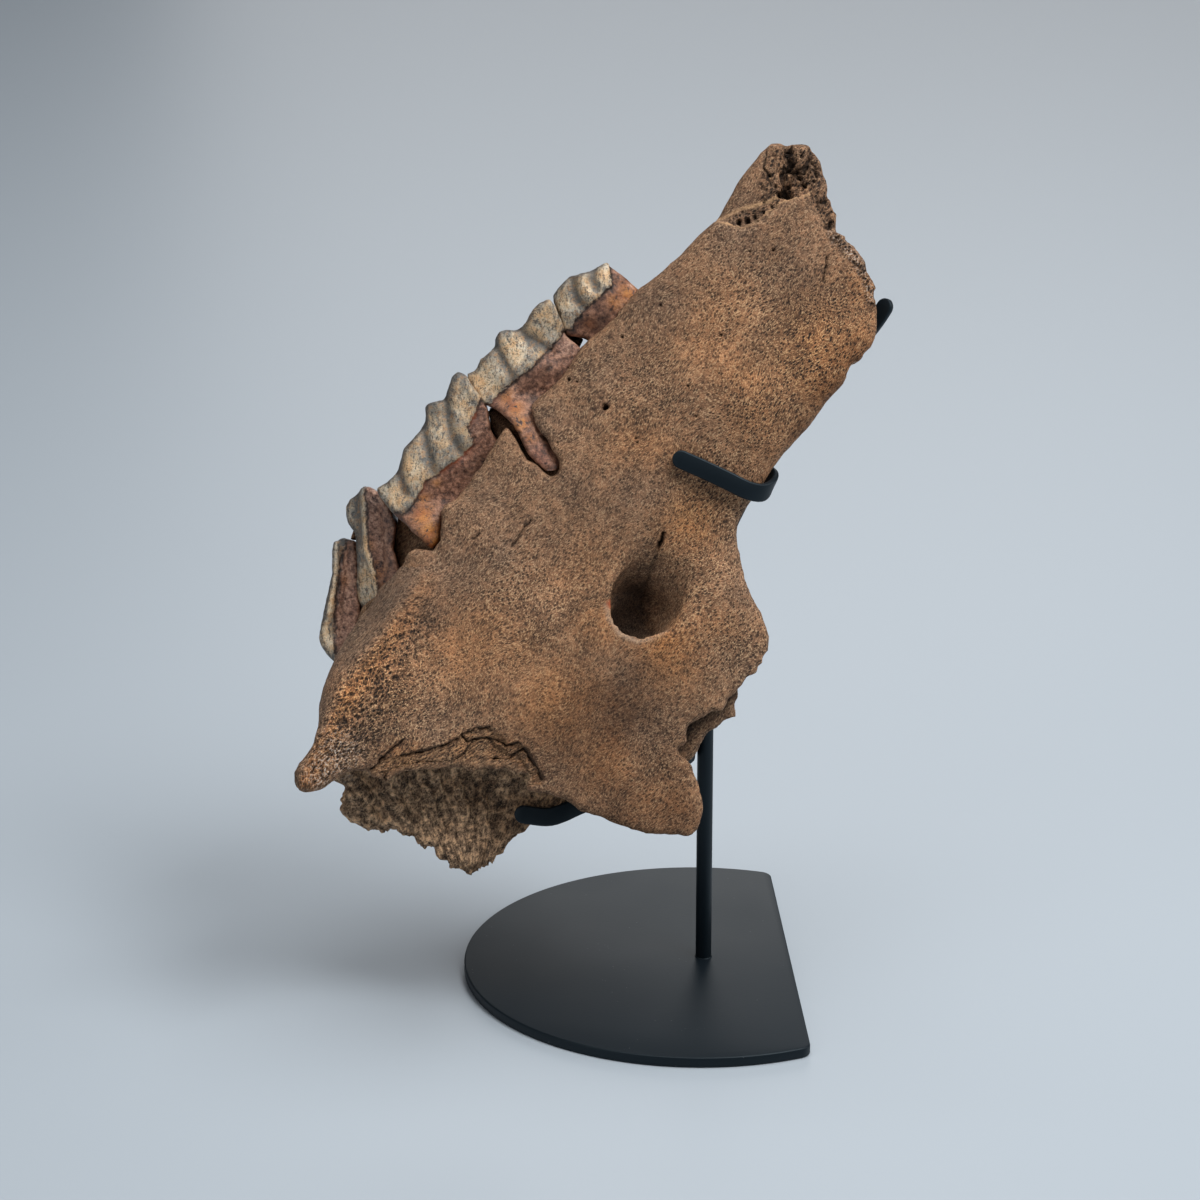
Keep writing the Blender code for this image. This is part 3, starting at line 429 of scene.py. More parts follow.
# Each spot of the edge: its place, how ragged the break is and how far the edge is rounded, in mm.
EDGES = [
    (45, 139, 0.2, 1.2), (62, 143, 0.4, 0.8), (75, 148, 0.5, 0.8), (80, 135, 0.5, 0.8), (90, 132, 0.8, 0.8),
    (98, 119, 0.7, 1.0), (101, 100, 0.5, 1.4), (94, 86, 0.6, 1.4), (85, 75, 0.2, 4), (70, 57, 0.1, 5),
    (55, 35, 0.1, 5), (50, 24, 0.1, 4.5), (54, 5, 0.1, 3.5), (60, -8, 0.25, 2.2), (60, -17, 0.5, 1.0),
    (57, -27, 0.7, 0.8), (46, -38, 0.8, 0.7), (36, -44, 0.9, 0.7), (31, -53, 0.8, 0.8), (32, -60, 0.3, 1.5),
    (38, -76, 0.3, 2), (33, -87, 0.4, 1.8), (10, -84, 0.4, 1.6), (-8, -76, 0.5, 1.0), (-24, -68, 0.7, 0.8),
    (-30, -62, 0.8, 0.7), (-60, -60, 0.6, 0.7), (-80, -63, 0.5, 0.8), (-92, -61, 0.5, 1.4),
    (-100, -66, 0.4, 3),
    (-109, -64, 0.3, 3.5), (-103, -50, 0.2, 4), (-98, -25, 0.2, 6), (-85, -2, 0.3, 4), (-72, 14, 0.6, 1.4),
    (-62, 17, 0.7, 1.2), (-57, 30, 0.7, 1.2), (-45, 47, 0.6, 1.2), (-35, 62, 0.6, 1.0), (-27, 52, 0.5, 1.0),
    (-16, 45, 0.4, 1.0), (-22, 62, 0.6, 1.0), (-22, 74, 0.5, 1.6), (-8, 90, 0.4, 2.5), (5, 104, 0.2, 4.5),
    (30, 127, 0.2, 5),
]
# The laminated flakes above the torn lower edge, one step of bone below the other.
FLAKES = [
    ([(-90, -58), (-84.1, -61.5), (-79.7, -58.4), (-77.8, -56.2), (-71.5, -55.5), (-63.4, -53.9),
      (-54.6, -51.4), (-49.5, -48.3), (-45.1, -46.1), (-40.1, -45.7), (-36, -49), (-33, -52), (-29, -52),
      (-27, -53.8), (-25, -57), (-22.5, -62), (-20.6, -66)], 1.5),
    ([(-84, -63), (-74, -59.5), (-64, -57.2), (-53.3, -58), (-50.8, -56.5), (-47, -53), (-45.1, -49.9),
      (-40.1, -49.6), (-36, -53), (-33, -55.5), (-29.4, -55.5), (-27.2, -58), (-26, -64)], 1.3),
    ([(-58, -62), (-48, -58.5), (-42.6, -59.5), (-40.1, -58), (-36.9, -57), (-32.6, -58.6), (-30, -62)], 0.9),
]
# Cracks in the face: a path, a depth and half a width, in mm.
CRACKS = [
    ([(-79.5, -58.2), (-77.8, -56), (-74.5, -53.2), (-71.3, -50.3)], 1.8, 0.55),
    ([(-84.1, -62.1), (-79.7, -58.4), (-77.8, -56.2)], 1.5, 0.5),
    ([(-71.5, -55.5), (-63.4, -53.9), (-54.6, -51.4), (-49.5, -48.3), (-45.1, -46.1), (-40.1, -45.7)],
     1.6, 0.45),
    ([(-49.6, -48.9), (-47.3, -51.1), (-45.1, -49.9), (-40.1, -49.6), (-35.7, -51.5), (-33.5, -52.7),
      (-29.4, -51.9)], 1.6, 0.45),
    ([(-53.3, -59.6), (-50.8, -57.1), (-47, -53), (-45.1, -50.8)], 1.4, 0.4),
    ([(-42.6, -60.9), (-40.1, -59), (-36.9, -57.7), (-35.1, -58.4), (-32.6, -58.4), (-29.4, -55.2),
      (-27.2, -53.8), (-25, -57.1), (-22.5, -62.1), (-20.6, -65.3)], 1.6, 0.5),
    ([(23.4, 24.4), (22.2, 21.6), (21, 18.4)], 3.2, 0.5),
    ([(83, 125), (82.3, 121), (81.4, 116)], 1.3, 0.5),
    ([(-24.9, 29.2), (-27.6, 26.4), (-29, 24.1), (-32.4, 19.1)], 1.1, 0.4),
    ([(-43.5, 24.6), (-46, 22.2)], 0.9, 0.35),
]
# Holes for small vessels: place, radius and depth, in mm.
VESSELS = [
    (63, 127.5, 0.55, 1.6), (54.5, 127, 0.45, 1.2), (44, 96.5, 0.5, 1.6), (32, 78, 0.5, 1.6),
    (22, 107.5, 0.45, 1.2), (8, 96, 0.6, 1.2), (35, 67, 0.4, 1.2), (13.5, 57.5, 0.4, 1.0),
    (-11.5, 80.5, 0.6, 1.6), (-8.4, 79.6, 0.4, 1.0),
    (2, 70.5, 0.9, 3.5), (-15.5, 57.5, 0.45, 1.2), (36.6, 69.8, 0.4, 0.8), (-2, 62, 0.35, 0.8),
    (13, 59, 0.5, 1.2),
]
# Hollows in the broken front end, larger than the pores: place, radius and depth, in mm.
CELLS = [
    (71.8, 155.6, 2.1, 4.5), (68.2, 148.8, 2.0, 4.5), (65.6, 148.2, 1.2, 3), (70, 159, 0.8, 2),
    (78.8, 158.4, 1.5, 3), (79.6, 155.4, 1.0, 2), (74.4, 151.2, 1.1, 2), (82.2, 145.6, 1.3, 2.5),
    (77, 162, 0.8, 1.4), (73.6, 162, 0.7, 1.4), (50.9, 138, 0.9, 2.2), (53.6, 138.3, 1.0, 2.2),
    (56.4, 139.6, 0.7, 1.8), (59.4, 141.6, 0.6, 1.6), (62.3, 143.8, 0.5, 1.2), (64.5, 151, 0.9, 1.6),
    (62, 155.5, 0.7, 1.4), (84.2, 137, 1.2, 2), (86.6, 132.4, 1.0, 1.6),
]
# The narrow clefts that part the front end: a path, a depth and half a width, in mm.
CLEFTS = [
    ([(68.8, 169), (69, 158.7), (67.1, 155.3), (67.6, 152.4), (69.6, 149)], 2.6, 0.75),
    ([(78.5, 165), (76, 160), (74.4, 156)], 1.6, 0.6), ([(60.5, 164), (60, 158), (62.5, 151)], 0.8, 0.5),
]
# Low swellings and dips of the face: place, radius and height. Then the groove down the canal's floor.
SWELLS = [
    (34, -4, 10, 2.2), (45, 3, 12, 1.2), (16, -36, 13, -1.4), (60, 20, 12, -0.6), (2, 12, 12, 0.7),
    (-20, -8, 18, 0.9), (-42, -30, 16, 1.0), (30, 42, 12, -0.6), (6, -62, 14, 0.7), (50, 75, 16, 0.5),
    (82, 118, 9, -0.7), (93, 118, 7, 0.6), (24, 98, 12, -0.5),
]
CANAL_GROOVE = [(22.6, 22.6), (20.6, 17.5), (18.6, 11), (16.6, 4), (15.2, -2)]
# The thick part that holds the teeth: its outline, and the heights of its front and its back. The
# palate's stump, the torn slab, the wall of the lower right hollow and the front end's core follow.
TOOTH_BAR = [
    (27, 122), (14, 111), (2, 98), (-8, 86), (-18, 81), (-30, 73), (-42, 65), (-48, 54), (-60, 40),
    (-70, 26), (-78, 15), (-87, 4), (-94, -10), (-99, -26), (-98, -40), (-86, -50), (-68, -42),
    (-44, -18), (-18, 10), (6, 40), (24, 64), (38, 92), (42, 112), (38, 127),
]
TOOTH_BAR_FRONT = [
    (22, 114, -12), (0, 96, -14), (-22, 74, -15), (-44, 56, -16), (-62, 34, -16), (-80, 8, -24),
    (-96, -22, -34), (-84, -20, -14), (38, 116, -5), (24, 84, -5), (0, 46, -5), (-36, 10, -5),
    (-70, -32, -6), (-14, 66, -7), (-44, 32, -7), (10, 92, -7),
]
TOOTH_BAR_BACK = [
    (30, 118, -36), (10, 100, -42), (-15, 70, -52), (-45, 30, -60), (-72, 0, -70), (-90, -25, -80),
    (-90, -45, -66), (-66, -36, -60), (-40, -14, -50), (-12, 14, -42), (10, 44, -36), (30, 72, -32),
    (38, 100, -28), (-36, 48, -52), (-66, 16, -62), (-4, 82, -46),
]
PALATE = [
    (28, 114), (19, 109), (10, 99), (1, 95), (-8, 82), (-19, 72), (-25, 61), (-36, 54), (-44, 40),
    (-56, 30), (-62, 15), (-74, 6), (-80, -6), (-86, -16), (-84, -26), (-76, -28), (-66, -14),
    (-50, 8), (-34, 28), (-14, 52), (4, 76), (20, 92), (34, 104),
]
PALATE_BACK = [
    (24, 110, -44), (8, 92, -57), (-4, 80, -54), (-18, 62, -63), (-34, 42, -62), (-48, 22, -74),
    (-62, 4, -72), (-78, -14, -62), (-84, -24, -58),
]
SLAB = [
    (-91, -50), (-97, -58), (-99, -64.5), (-98, -66.8), (-95, -67.4), (-92, -68.4), (-94.5, -73),
    (-94.8, -75.5), (-94.5, -78), (-91.5, -82.5),
    (-88.5, -83.2), (-86, -84.5), (-83, -84.4), (-80.5, -86), (-78, -84.8), (-75, -84.5), (-72, -86.6),
    (-68.5, -87.5), (-66, -90.6), (-64.5, -91.5), (-61, -91), (-59.4, -93.8), (-57.5, -95.5), (-54, -98.4),
    (-52, -100), (-48, -102.5), (-46.4, -101), (-44.5, -100.5), (-42.6, -98), (-40, -97), (-38, -95.2),
    (-36, -95.5), (-35, -93), (-32.5, -91.5), (-31, -88.8), (-29, -88), (-26, -85), (-23.5, -83),
    (-19, -80.8), (-14.5, -78), (-9, -73), (-12, -56), (-26, -36), (-60, -30), (-84, -36),
]
SLAB_EDGE = SLAB[5:43]
SLAB_FRONT = [
    (-90, -78, -4), (-88, -62, -2), (-72, -72, -7), (-66, -88, -8), (-48, -98, -9), (-52, -80, -11),
    (-34, -88, -12), (-30, -70, -14), (-16, -72, -14), (-60, -50, -12), (-30, -45, -14),
]
SLAB_BACK = [
    (-88, -76, -30), (-66, -84, -28), (-48, -97, -20), (-50, -60, -34), (-30, -82, -22),
    (-16, -72, -20), (-30, -45, -26), (-80, -45, -40),
]
SLAB_FOLDS = [
    [(-84, -62), (-80, -85)], [(-70, -64), (-67, -88)], [(-57, -64), (-58, -95)],
    [(-48, -66), (-46, -101)], [(-40, -68), (-36, -95)],
]
SOCKET_WALL = [
    (50.5, -33), (51.2, -36), (49.5, -38.5), (50.2, -41), (50.5, -44), (45.5, -44.5), (43, -47.4),
    (39.5, -49.5), (38.4, -52.4), (35.5, -56), (33, -60), (20, -66), (12, -48), (28, -28), (44, -22),
]
FRONT_CORE = [
    (42, 136), (45.5, 144), (50.5, 152), (56, 160), (60.5, 165.5), (63, 167), (65.5, 167.5), (67.4, 166.8),
    (68.5, 165), (69.8, 166.6), (71.5, 167), (76, 166.5), (77.5, 164.4), (79, 163), (81.5, 158),
    (82.4, 154.6),
    (83.5, 151), (83.4, 148), (84.6, 146.4), (85.5, 142.5), (86.6, 140), (86, 132), (84, 118), (50, 118),
]
FRONT_CORE_TOP = [(48, 148, -9), (66, 164, -9), (80, 160, -8), (62, 140, -6), (84, 140, -9), (60, 122, -4)]
FRONT_CORE_BACK = [(48, 146, -21), (66, 164, -19), (80, 158, -19), (60, 122, -12), (82, 126, -11)]
FRONT_CORE_CLEFTS = [[(68.8, 170), (69, 162), (67.4, 156), (69.4, 150.6)], [(79, 166), (75, 157), (72, 150)]]
# The canal's course, then the wide mouth that runs out to its upper right: middle, half width, half height.
CANAL = [
    ((23.6, 26.5, 7.6), 4.5, 4.5), ((22.7, 22.5, 6.2), 5.4, 5.4), ((18.6, 12.8, 3.8), 8.2, 8.2),
    ((14.4, 3.2, -0.6), 10.6, 10.6), ((14.0, -4.8, -6.2), 12.6, 12.4), ((10.8, -10.4, -11.4), 9.4, 9.2),
    ((4.5, -16, -14.6), 5.6, 5.6), ((-4, -23, -16), 3.4, 3.4),
]
CANAL_FAN = [
    ((42, 24, 19), 13, 13), ((35.5, 14, 15.4), 13.4, 13.4), ((28.5, 6, 9.6), 13, 13),
    ((21, -1, 1), 11.6, 11.6),
    ((15, -6, -8), 8, 8),
]
# The walls of bone between the teeth: an outline, the height of its front and of its back.
SEPTA = [
    ([(-46, 75), (-40, 73), (-30, 62), (-36, 52), (-46, 60), (-51, 68)], -14, -32),
    ([(-81, 36), (-76, 34), (-66, 24), (-59, 17), (-62, 10), (-74, 6), (-80, 18), (-82, 30)], -21, -40),
    ([(-17, 100), (-12, 101), (-7.4, 99), (-5.4, 96.2), (-6.8, 94.2), (-9, 89), (-17, 91)], -16, -34),
    ([(-92, 26), (-88, 16), (-88, 0), (-90, -12), (-94, -6), (-95, 4), (-94, 20)], -36, -50),
]
# The spacing of the outlines' points and the mesh size of the bone before and after it is hollowed, in mm.
RELIEF_STEP = 1.5
FIRST_SKIN = 1.2
LAST_SKIN = 0.95


def spot_surface(spots):
    """A smooth surface through heights given at a few places: a thin plate spline."""
    spots = np.array(spots, dtype=float)
    at = spots[:, :2]

    def bend(points):
        squared = ((points[:, None] - at[None]) ** 2).sum(axis=2)
        return squared * np.log(squared + 1e-9)

    count = len(spots)
    plane = np.column_stack([np.ones(count), at])
    left = np.block([[bend(at), plane], [plane.T, np.zeros((3, 3))]])
    weights = np.linalg.solve(left, np.append(spots[:, 2], np.zeros(3)))
    return lambda points: bend(points) @ weights[:count] + weights[count] + points @ weights[count + 1:]


def away_from(points, path, closed=False):
    """Each point's distance from a path, and which side of it the point is on: +1 is left."""
    path = np.array(path, dtype=float)
    ends = np.roll(path, -1, axis=0) if closed else path[1:]
    distance = np.full(len(points), np.inf)
    side = np.zeros(len(points))
    for start, end in zip(path, ends):
        along = end - start
        share = np.clip((points - start) @ along / (along @ along), 0, 1)
        offset = points - start - share[:, None] * along
        length = np.hypot(offset[:, 0], offset[:, 1])
        nearer = length < distance
        distance[nearer] = length[nearer]
        turn = along[0] * (points[:, 1] - start[1]) - along[1] * (points[:, 0] - start[0])
        side[nearer] = np.sign(turn[nearer])
    return distance, side


def inside(points, outline):
    outline = np.array(outline, dtype=float)
    crossings = np.zeros(len(points), dtype=int)
    for start, end in zip(outline, np.roll(outline, -1, axis=0)):
        spans = (start[1] > points[:, 1]) != (end[1] > points[:, 1])
        rise = end[1] - start[1] or 1.0
        reach = start[0] + (points[:, 1] - start[1]) / rise * (end[0] - start[0])
        crossings += spans & (points[:, 0] < reach)
    return crossings % 2 == 1


def soft(points, outline, blur):
    """A mask that is 1 inside an outline and fades out over a blur in mm."""
    distance = away_from(points, outline, closed=True)[0]
    return np.clip(0.5 + np.where(inside(points, outline), distance, -distance) / blur, 0, 1)


# The random heights that grain reads, repeated every 32 cells.
LATTICE_SIDE = 32
lattice = np.random.RandomState(7).uniform(-1, 1, (LATTICE_SIDE,) * 3)


def grain(points, size, octaves=1):
    """Smooth random heights between -1 and 1 with lumps about as large as size, in mm."""
    total = np.zeros(len(points))
    for octave in range(octaves):
        scaled = points / size * 2**octave + 11.3 * octave
        cell = np.floor(scaled).astype(int)
        part = scaled - cell
        part = part * part * (3 - 2 * part)
        found = np.zeros(len(points))
        for corner_place in range(8):
            step = np.array([corner_place & 1, corner_place >> 1 & 1, corner_place >> 2 & 1])
            at = (cell + step) % LATTICE_SIDE
            weight = np.prod(np.where(step, part, 1 - part), axis=1)
            found += weight * lattice[at[:, 0], at[:, 1], at[:, 2]]
        total += found / 2**octave
    return total


def sideways(points, size, octaves=2):
    """A random wander of each point across and up the face, between -1 and 1."""
    return np.column_stack([grain(points, size, octaves), grain(points + 50, size, octaves)])


def fade(distance, width):
    """A mask that is 1 at no distance and dies away over a width."""
    return np.exp(-((distance / width) ** 2))


def spot(points, u, v, radius):
    """A round soft mask about a place on the face."""
    return np.exp(-((points[:, 0] - u) ** 2 + (points[:, 1] - v) ** 2) / radius**2)


def edge_wear(points):
    """How ragged and how rounded the outer plate's edge is at each point."""
    spots = np.array(EDGES, dtype=float)
    squared = ((points[:, None] - spots[None, :, :2]) ** 2).sum(axis=2) + 1
    weight = squared**-1.5
    weight /= weight.sum(axis=1, keepdims=True)
    return weight @ spots[:, 2], weight @ spots[:, 3]


def resampled(outline, step):
    points = []
    for start, end in zip(outline, outline[1:] + outline[:1]):
        start, end = np.array(start, dtype=float), np.array(end, dtype=float)
        count = max(1, round(float(np.linalg.norm(end - start)) / step))
        points += [start + (end - start) * k / count for k in range(count)]
    return np.array(points)


def relief(outline, front, back, step, rounding=2.5, taper=0.0, ragged=0.0):
    """A closed solid over an outline, between a front and a back surface, its edges rounded."""
    rim = resampled(outline, step)
    wear = edge_wear(rim)[0] if ragged is None else ragged
    flat = np.column_stack([rim, np.zeros(len(rim))])
    shift = np.column_stack([grain(flat + 3, 3.2, 2), grain(flat + 40, 3.2, 2)])
    rim = rim + shift * np.reshape(wear * np.ones(len(rim)), (-1, 1))
    low, high = rim.min(axis=0), rim.max(axis=0)
    rows = np.arange(low[1], high[1], step * 0.87)
    columns = np.arange(low[0], high[0], step)
    grid = np.array([(u + step / 2 * (k % 2), v) for k, v in enumerate(rows) for u in columns])
    clear = away_from(grid, rim, closed=True)[0] > 0.6 * step
    grid = grid[clear & inside(grid, rim)]
    places = [Vector(point) for point in np.vstack([rim, grid])]
    made, _, triangles, _, _, _ = geometry.delaunay_2d_cdt(places, [], [list(range(len(rim)))], 1, 1e-5)
    plan = np.array(made)
    triangles = np.array(triangles)
    sides = triangles[:, [0, 1, 1, 2, 2, 0]].reshape(-1, 2)
    known = {tuple(side) for side in sides.tolist()}
    border = [(a, b) for a, b in sides.tolist() if (b, a) not in known]
    edge = away_from(plan, rim, closed=True)[0]
    upper, lower = front(plan), back(plan)
    wanted = edge_wear(plan)[1] if rounding is None else rounding
    radius = np.minimum(wanted, 0.45 * (upper - lower))
    near = np.clip(1 - edge / radius, 0, 1)
    drop = radius * (1 - np.sqrt(1 - near**2))
    count = len(plan)
    middle = plan.mean(axis=0)
    shrunk = middle + (plan - middle) * (1 - taper)
    points = np.vstack([np.column_stack([plan, upper - drop]), np.column_stack([shrunk, lower + drop])])
    faces = triangles.tolist()
    faces += (triangles[:, ::-1] + count).tolist()
    faces += [[b, a, a + count, b + count] for a, b in border]
    return points, faces


def grooves(points, paths, depth, width):
    fall = np.zeros(len(points))
    for path in paths:
        fall = np.maximum(fall, depth * fade(away_from(points, path)[0], width))
    return fall


def outer_face(points):
    height = spot_surface(OUTER_FACE)(points)
    distance, side = away_from(points, CREST)
    beyond = np.where(side < 0, distance, 0)
    fall = 30 * np.clip((20 - points[:, 1]) / 25, 0, 1)
    return height - fall * (1 - fade(beyond, 9))


def inner_face(points):
    ridge = grooves(points, [[(-16, -30), (8, 12), (34, 56), (58, 104)]], 5, 4.5)
    return np.minimum(spot_surface(INNER_FACE)(points) - ridge, outer_face(points) - 4.5)


def slab_front(points):
    return spot_surface(SLAB_FRONT)(points) - grooves(points, SLAB_FOLDS, 2.2, 3.2)


def core_front(points):
    return spot_surface(FRONT_CORE_TOP)(points) - grooves(points, FRONT_CORE_CLEFTS, 3, 1.8)


def level(height):
    return lambda points: np.full(len(points), float(height))


def tube(rings, sides=28):
    """A closed shell through rings of (middle, half width, half height) across its own path."""
    middles = [Vector(middle) for middle, _, _ in rings]
    points = []
    for number, (_, half_width, half_height) in enumerate(rings):
        along = (middles[min(number + 1, len(rings) - 1)] - middles[max(number - 1, 0)]).normalized()
        wide = Vector((0, 1, 0)).cross(along).normalized()
        tall = along.cross(wide)
        for k in range(sides):
            angle = math.tau * k / sides
            points.append(middles[number] + wide * half_width * math.cos(angle)
                          + tall * half_height * math.sin(angle))
    faces = [list(range(sides)), list(range(len(points) - sides, len(points)))]
    for number in range(len(rings) - 1):
        for k in range(sides):
            a, b = number * sides + k, number * sides + (k + 1) % sides
            faces.append([a, b, b + sides, a + sides])
    return points, faces


def skin(piece, size):
    one = piece.modifiers.new("One skin", "REMESH")
    one.mode = "VOXEL"
    one.voxel_size = size * MM


def cut_out(piece, cutter, size):
    """Cuts a shape out of a piece, meshes what is left as one skin and removes the cutter."""
    hollowed = piece.modifiers.new("Hollows", "BOOLEAN")
    hollowed.operation = "DIFFERENCE"
    hollowed.solver = "EXACT"
    hollowed.object = cutter
    skin(piece, size)
    apply_modifiers(piece)
    bpy.data.objects.remove(cutter)


def egg(middle, half_sizes, turn):
    """An egg-shaped cutter, turned in the plane of the face."""
    bpy.ops.object.select_all(action="DESELECT")
    bpy.ops.mesh.primitive_ico_sphere_add(subdivisions=4, radius=1)
    made = bpy.context.object
    shape = Matrix.Translation(middle) @ Matrix.Rotation(math.radians(turn), 4, "Z")
    made.data.transform(FACE @ shape @ Matrix.Diagonal((*half_sizes, 1)))
    return made


def joined(pieces):
    bpy.ops.object.select_all(action="DESELECT")
    for piece in pieces:
        piece.select_set(True)
    bpy.context.view_layer.objects.active = pieces[0]
    bpy.ops.object.join()
    return bpy.context.object


def grown(piece, by):
    """Moves every point of a piece out along its normal, by a distance in mm."""
    edit(piece)
    bpy.ops.mesh.select_all(action="SELECT")
    bpy.ops.transform.shrink_fatten(value=by * MM)
    done()
    return piece


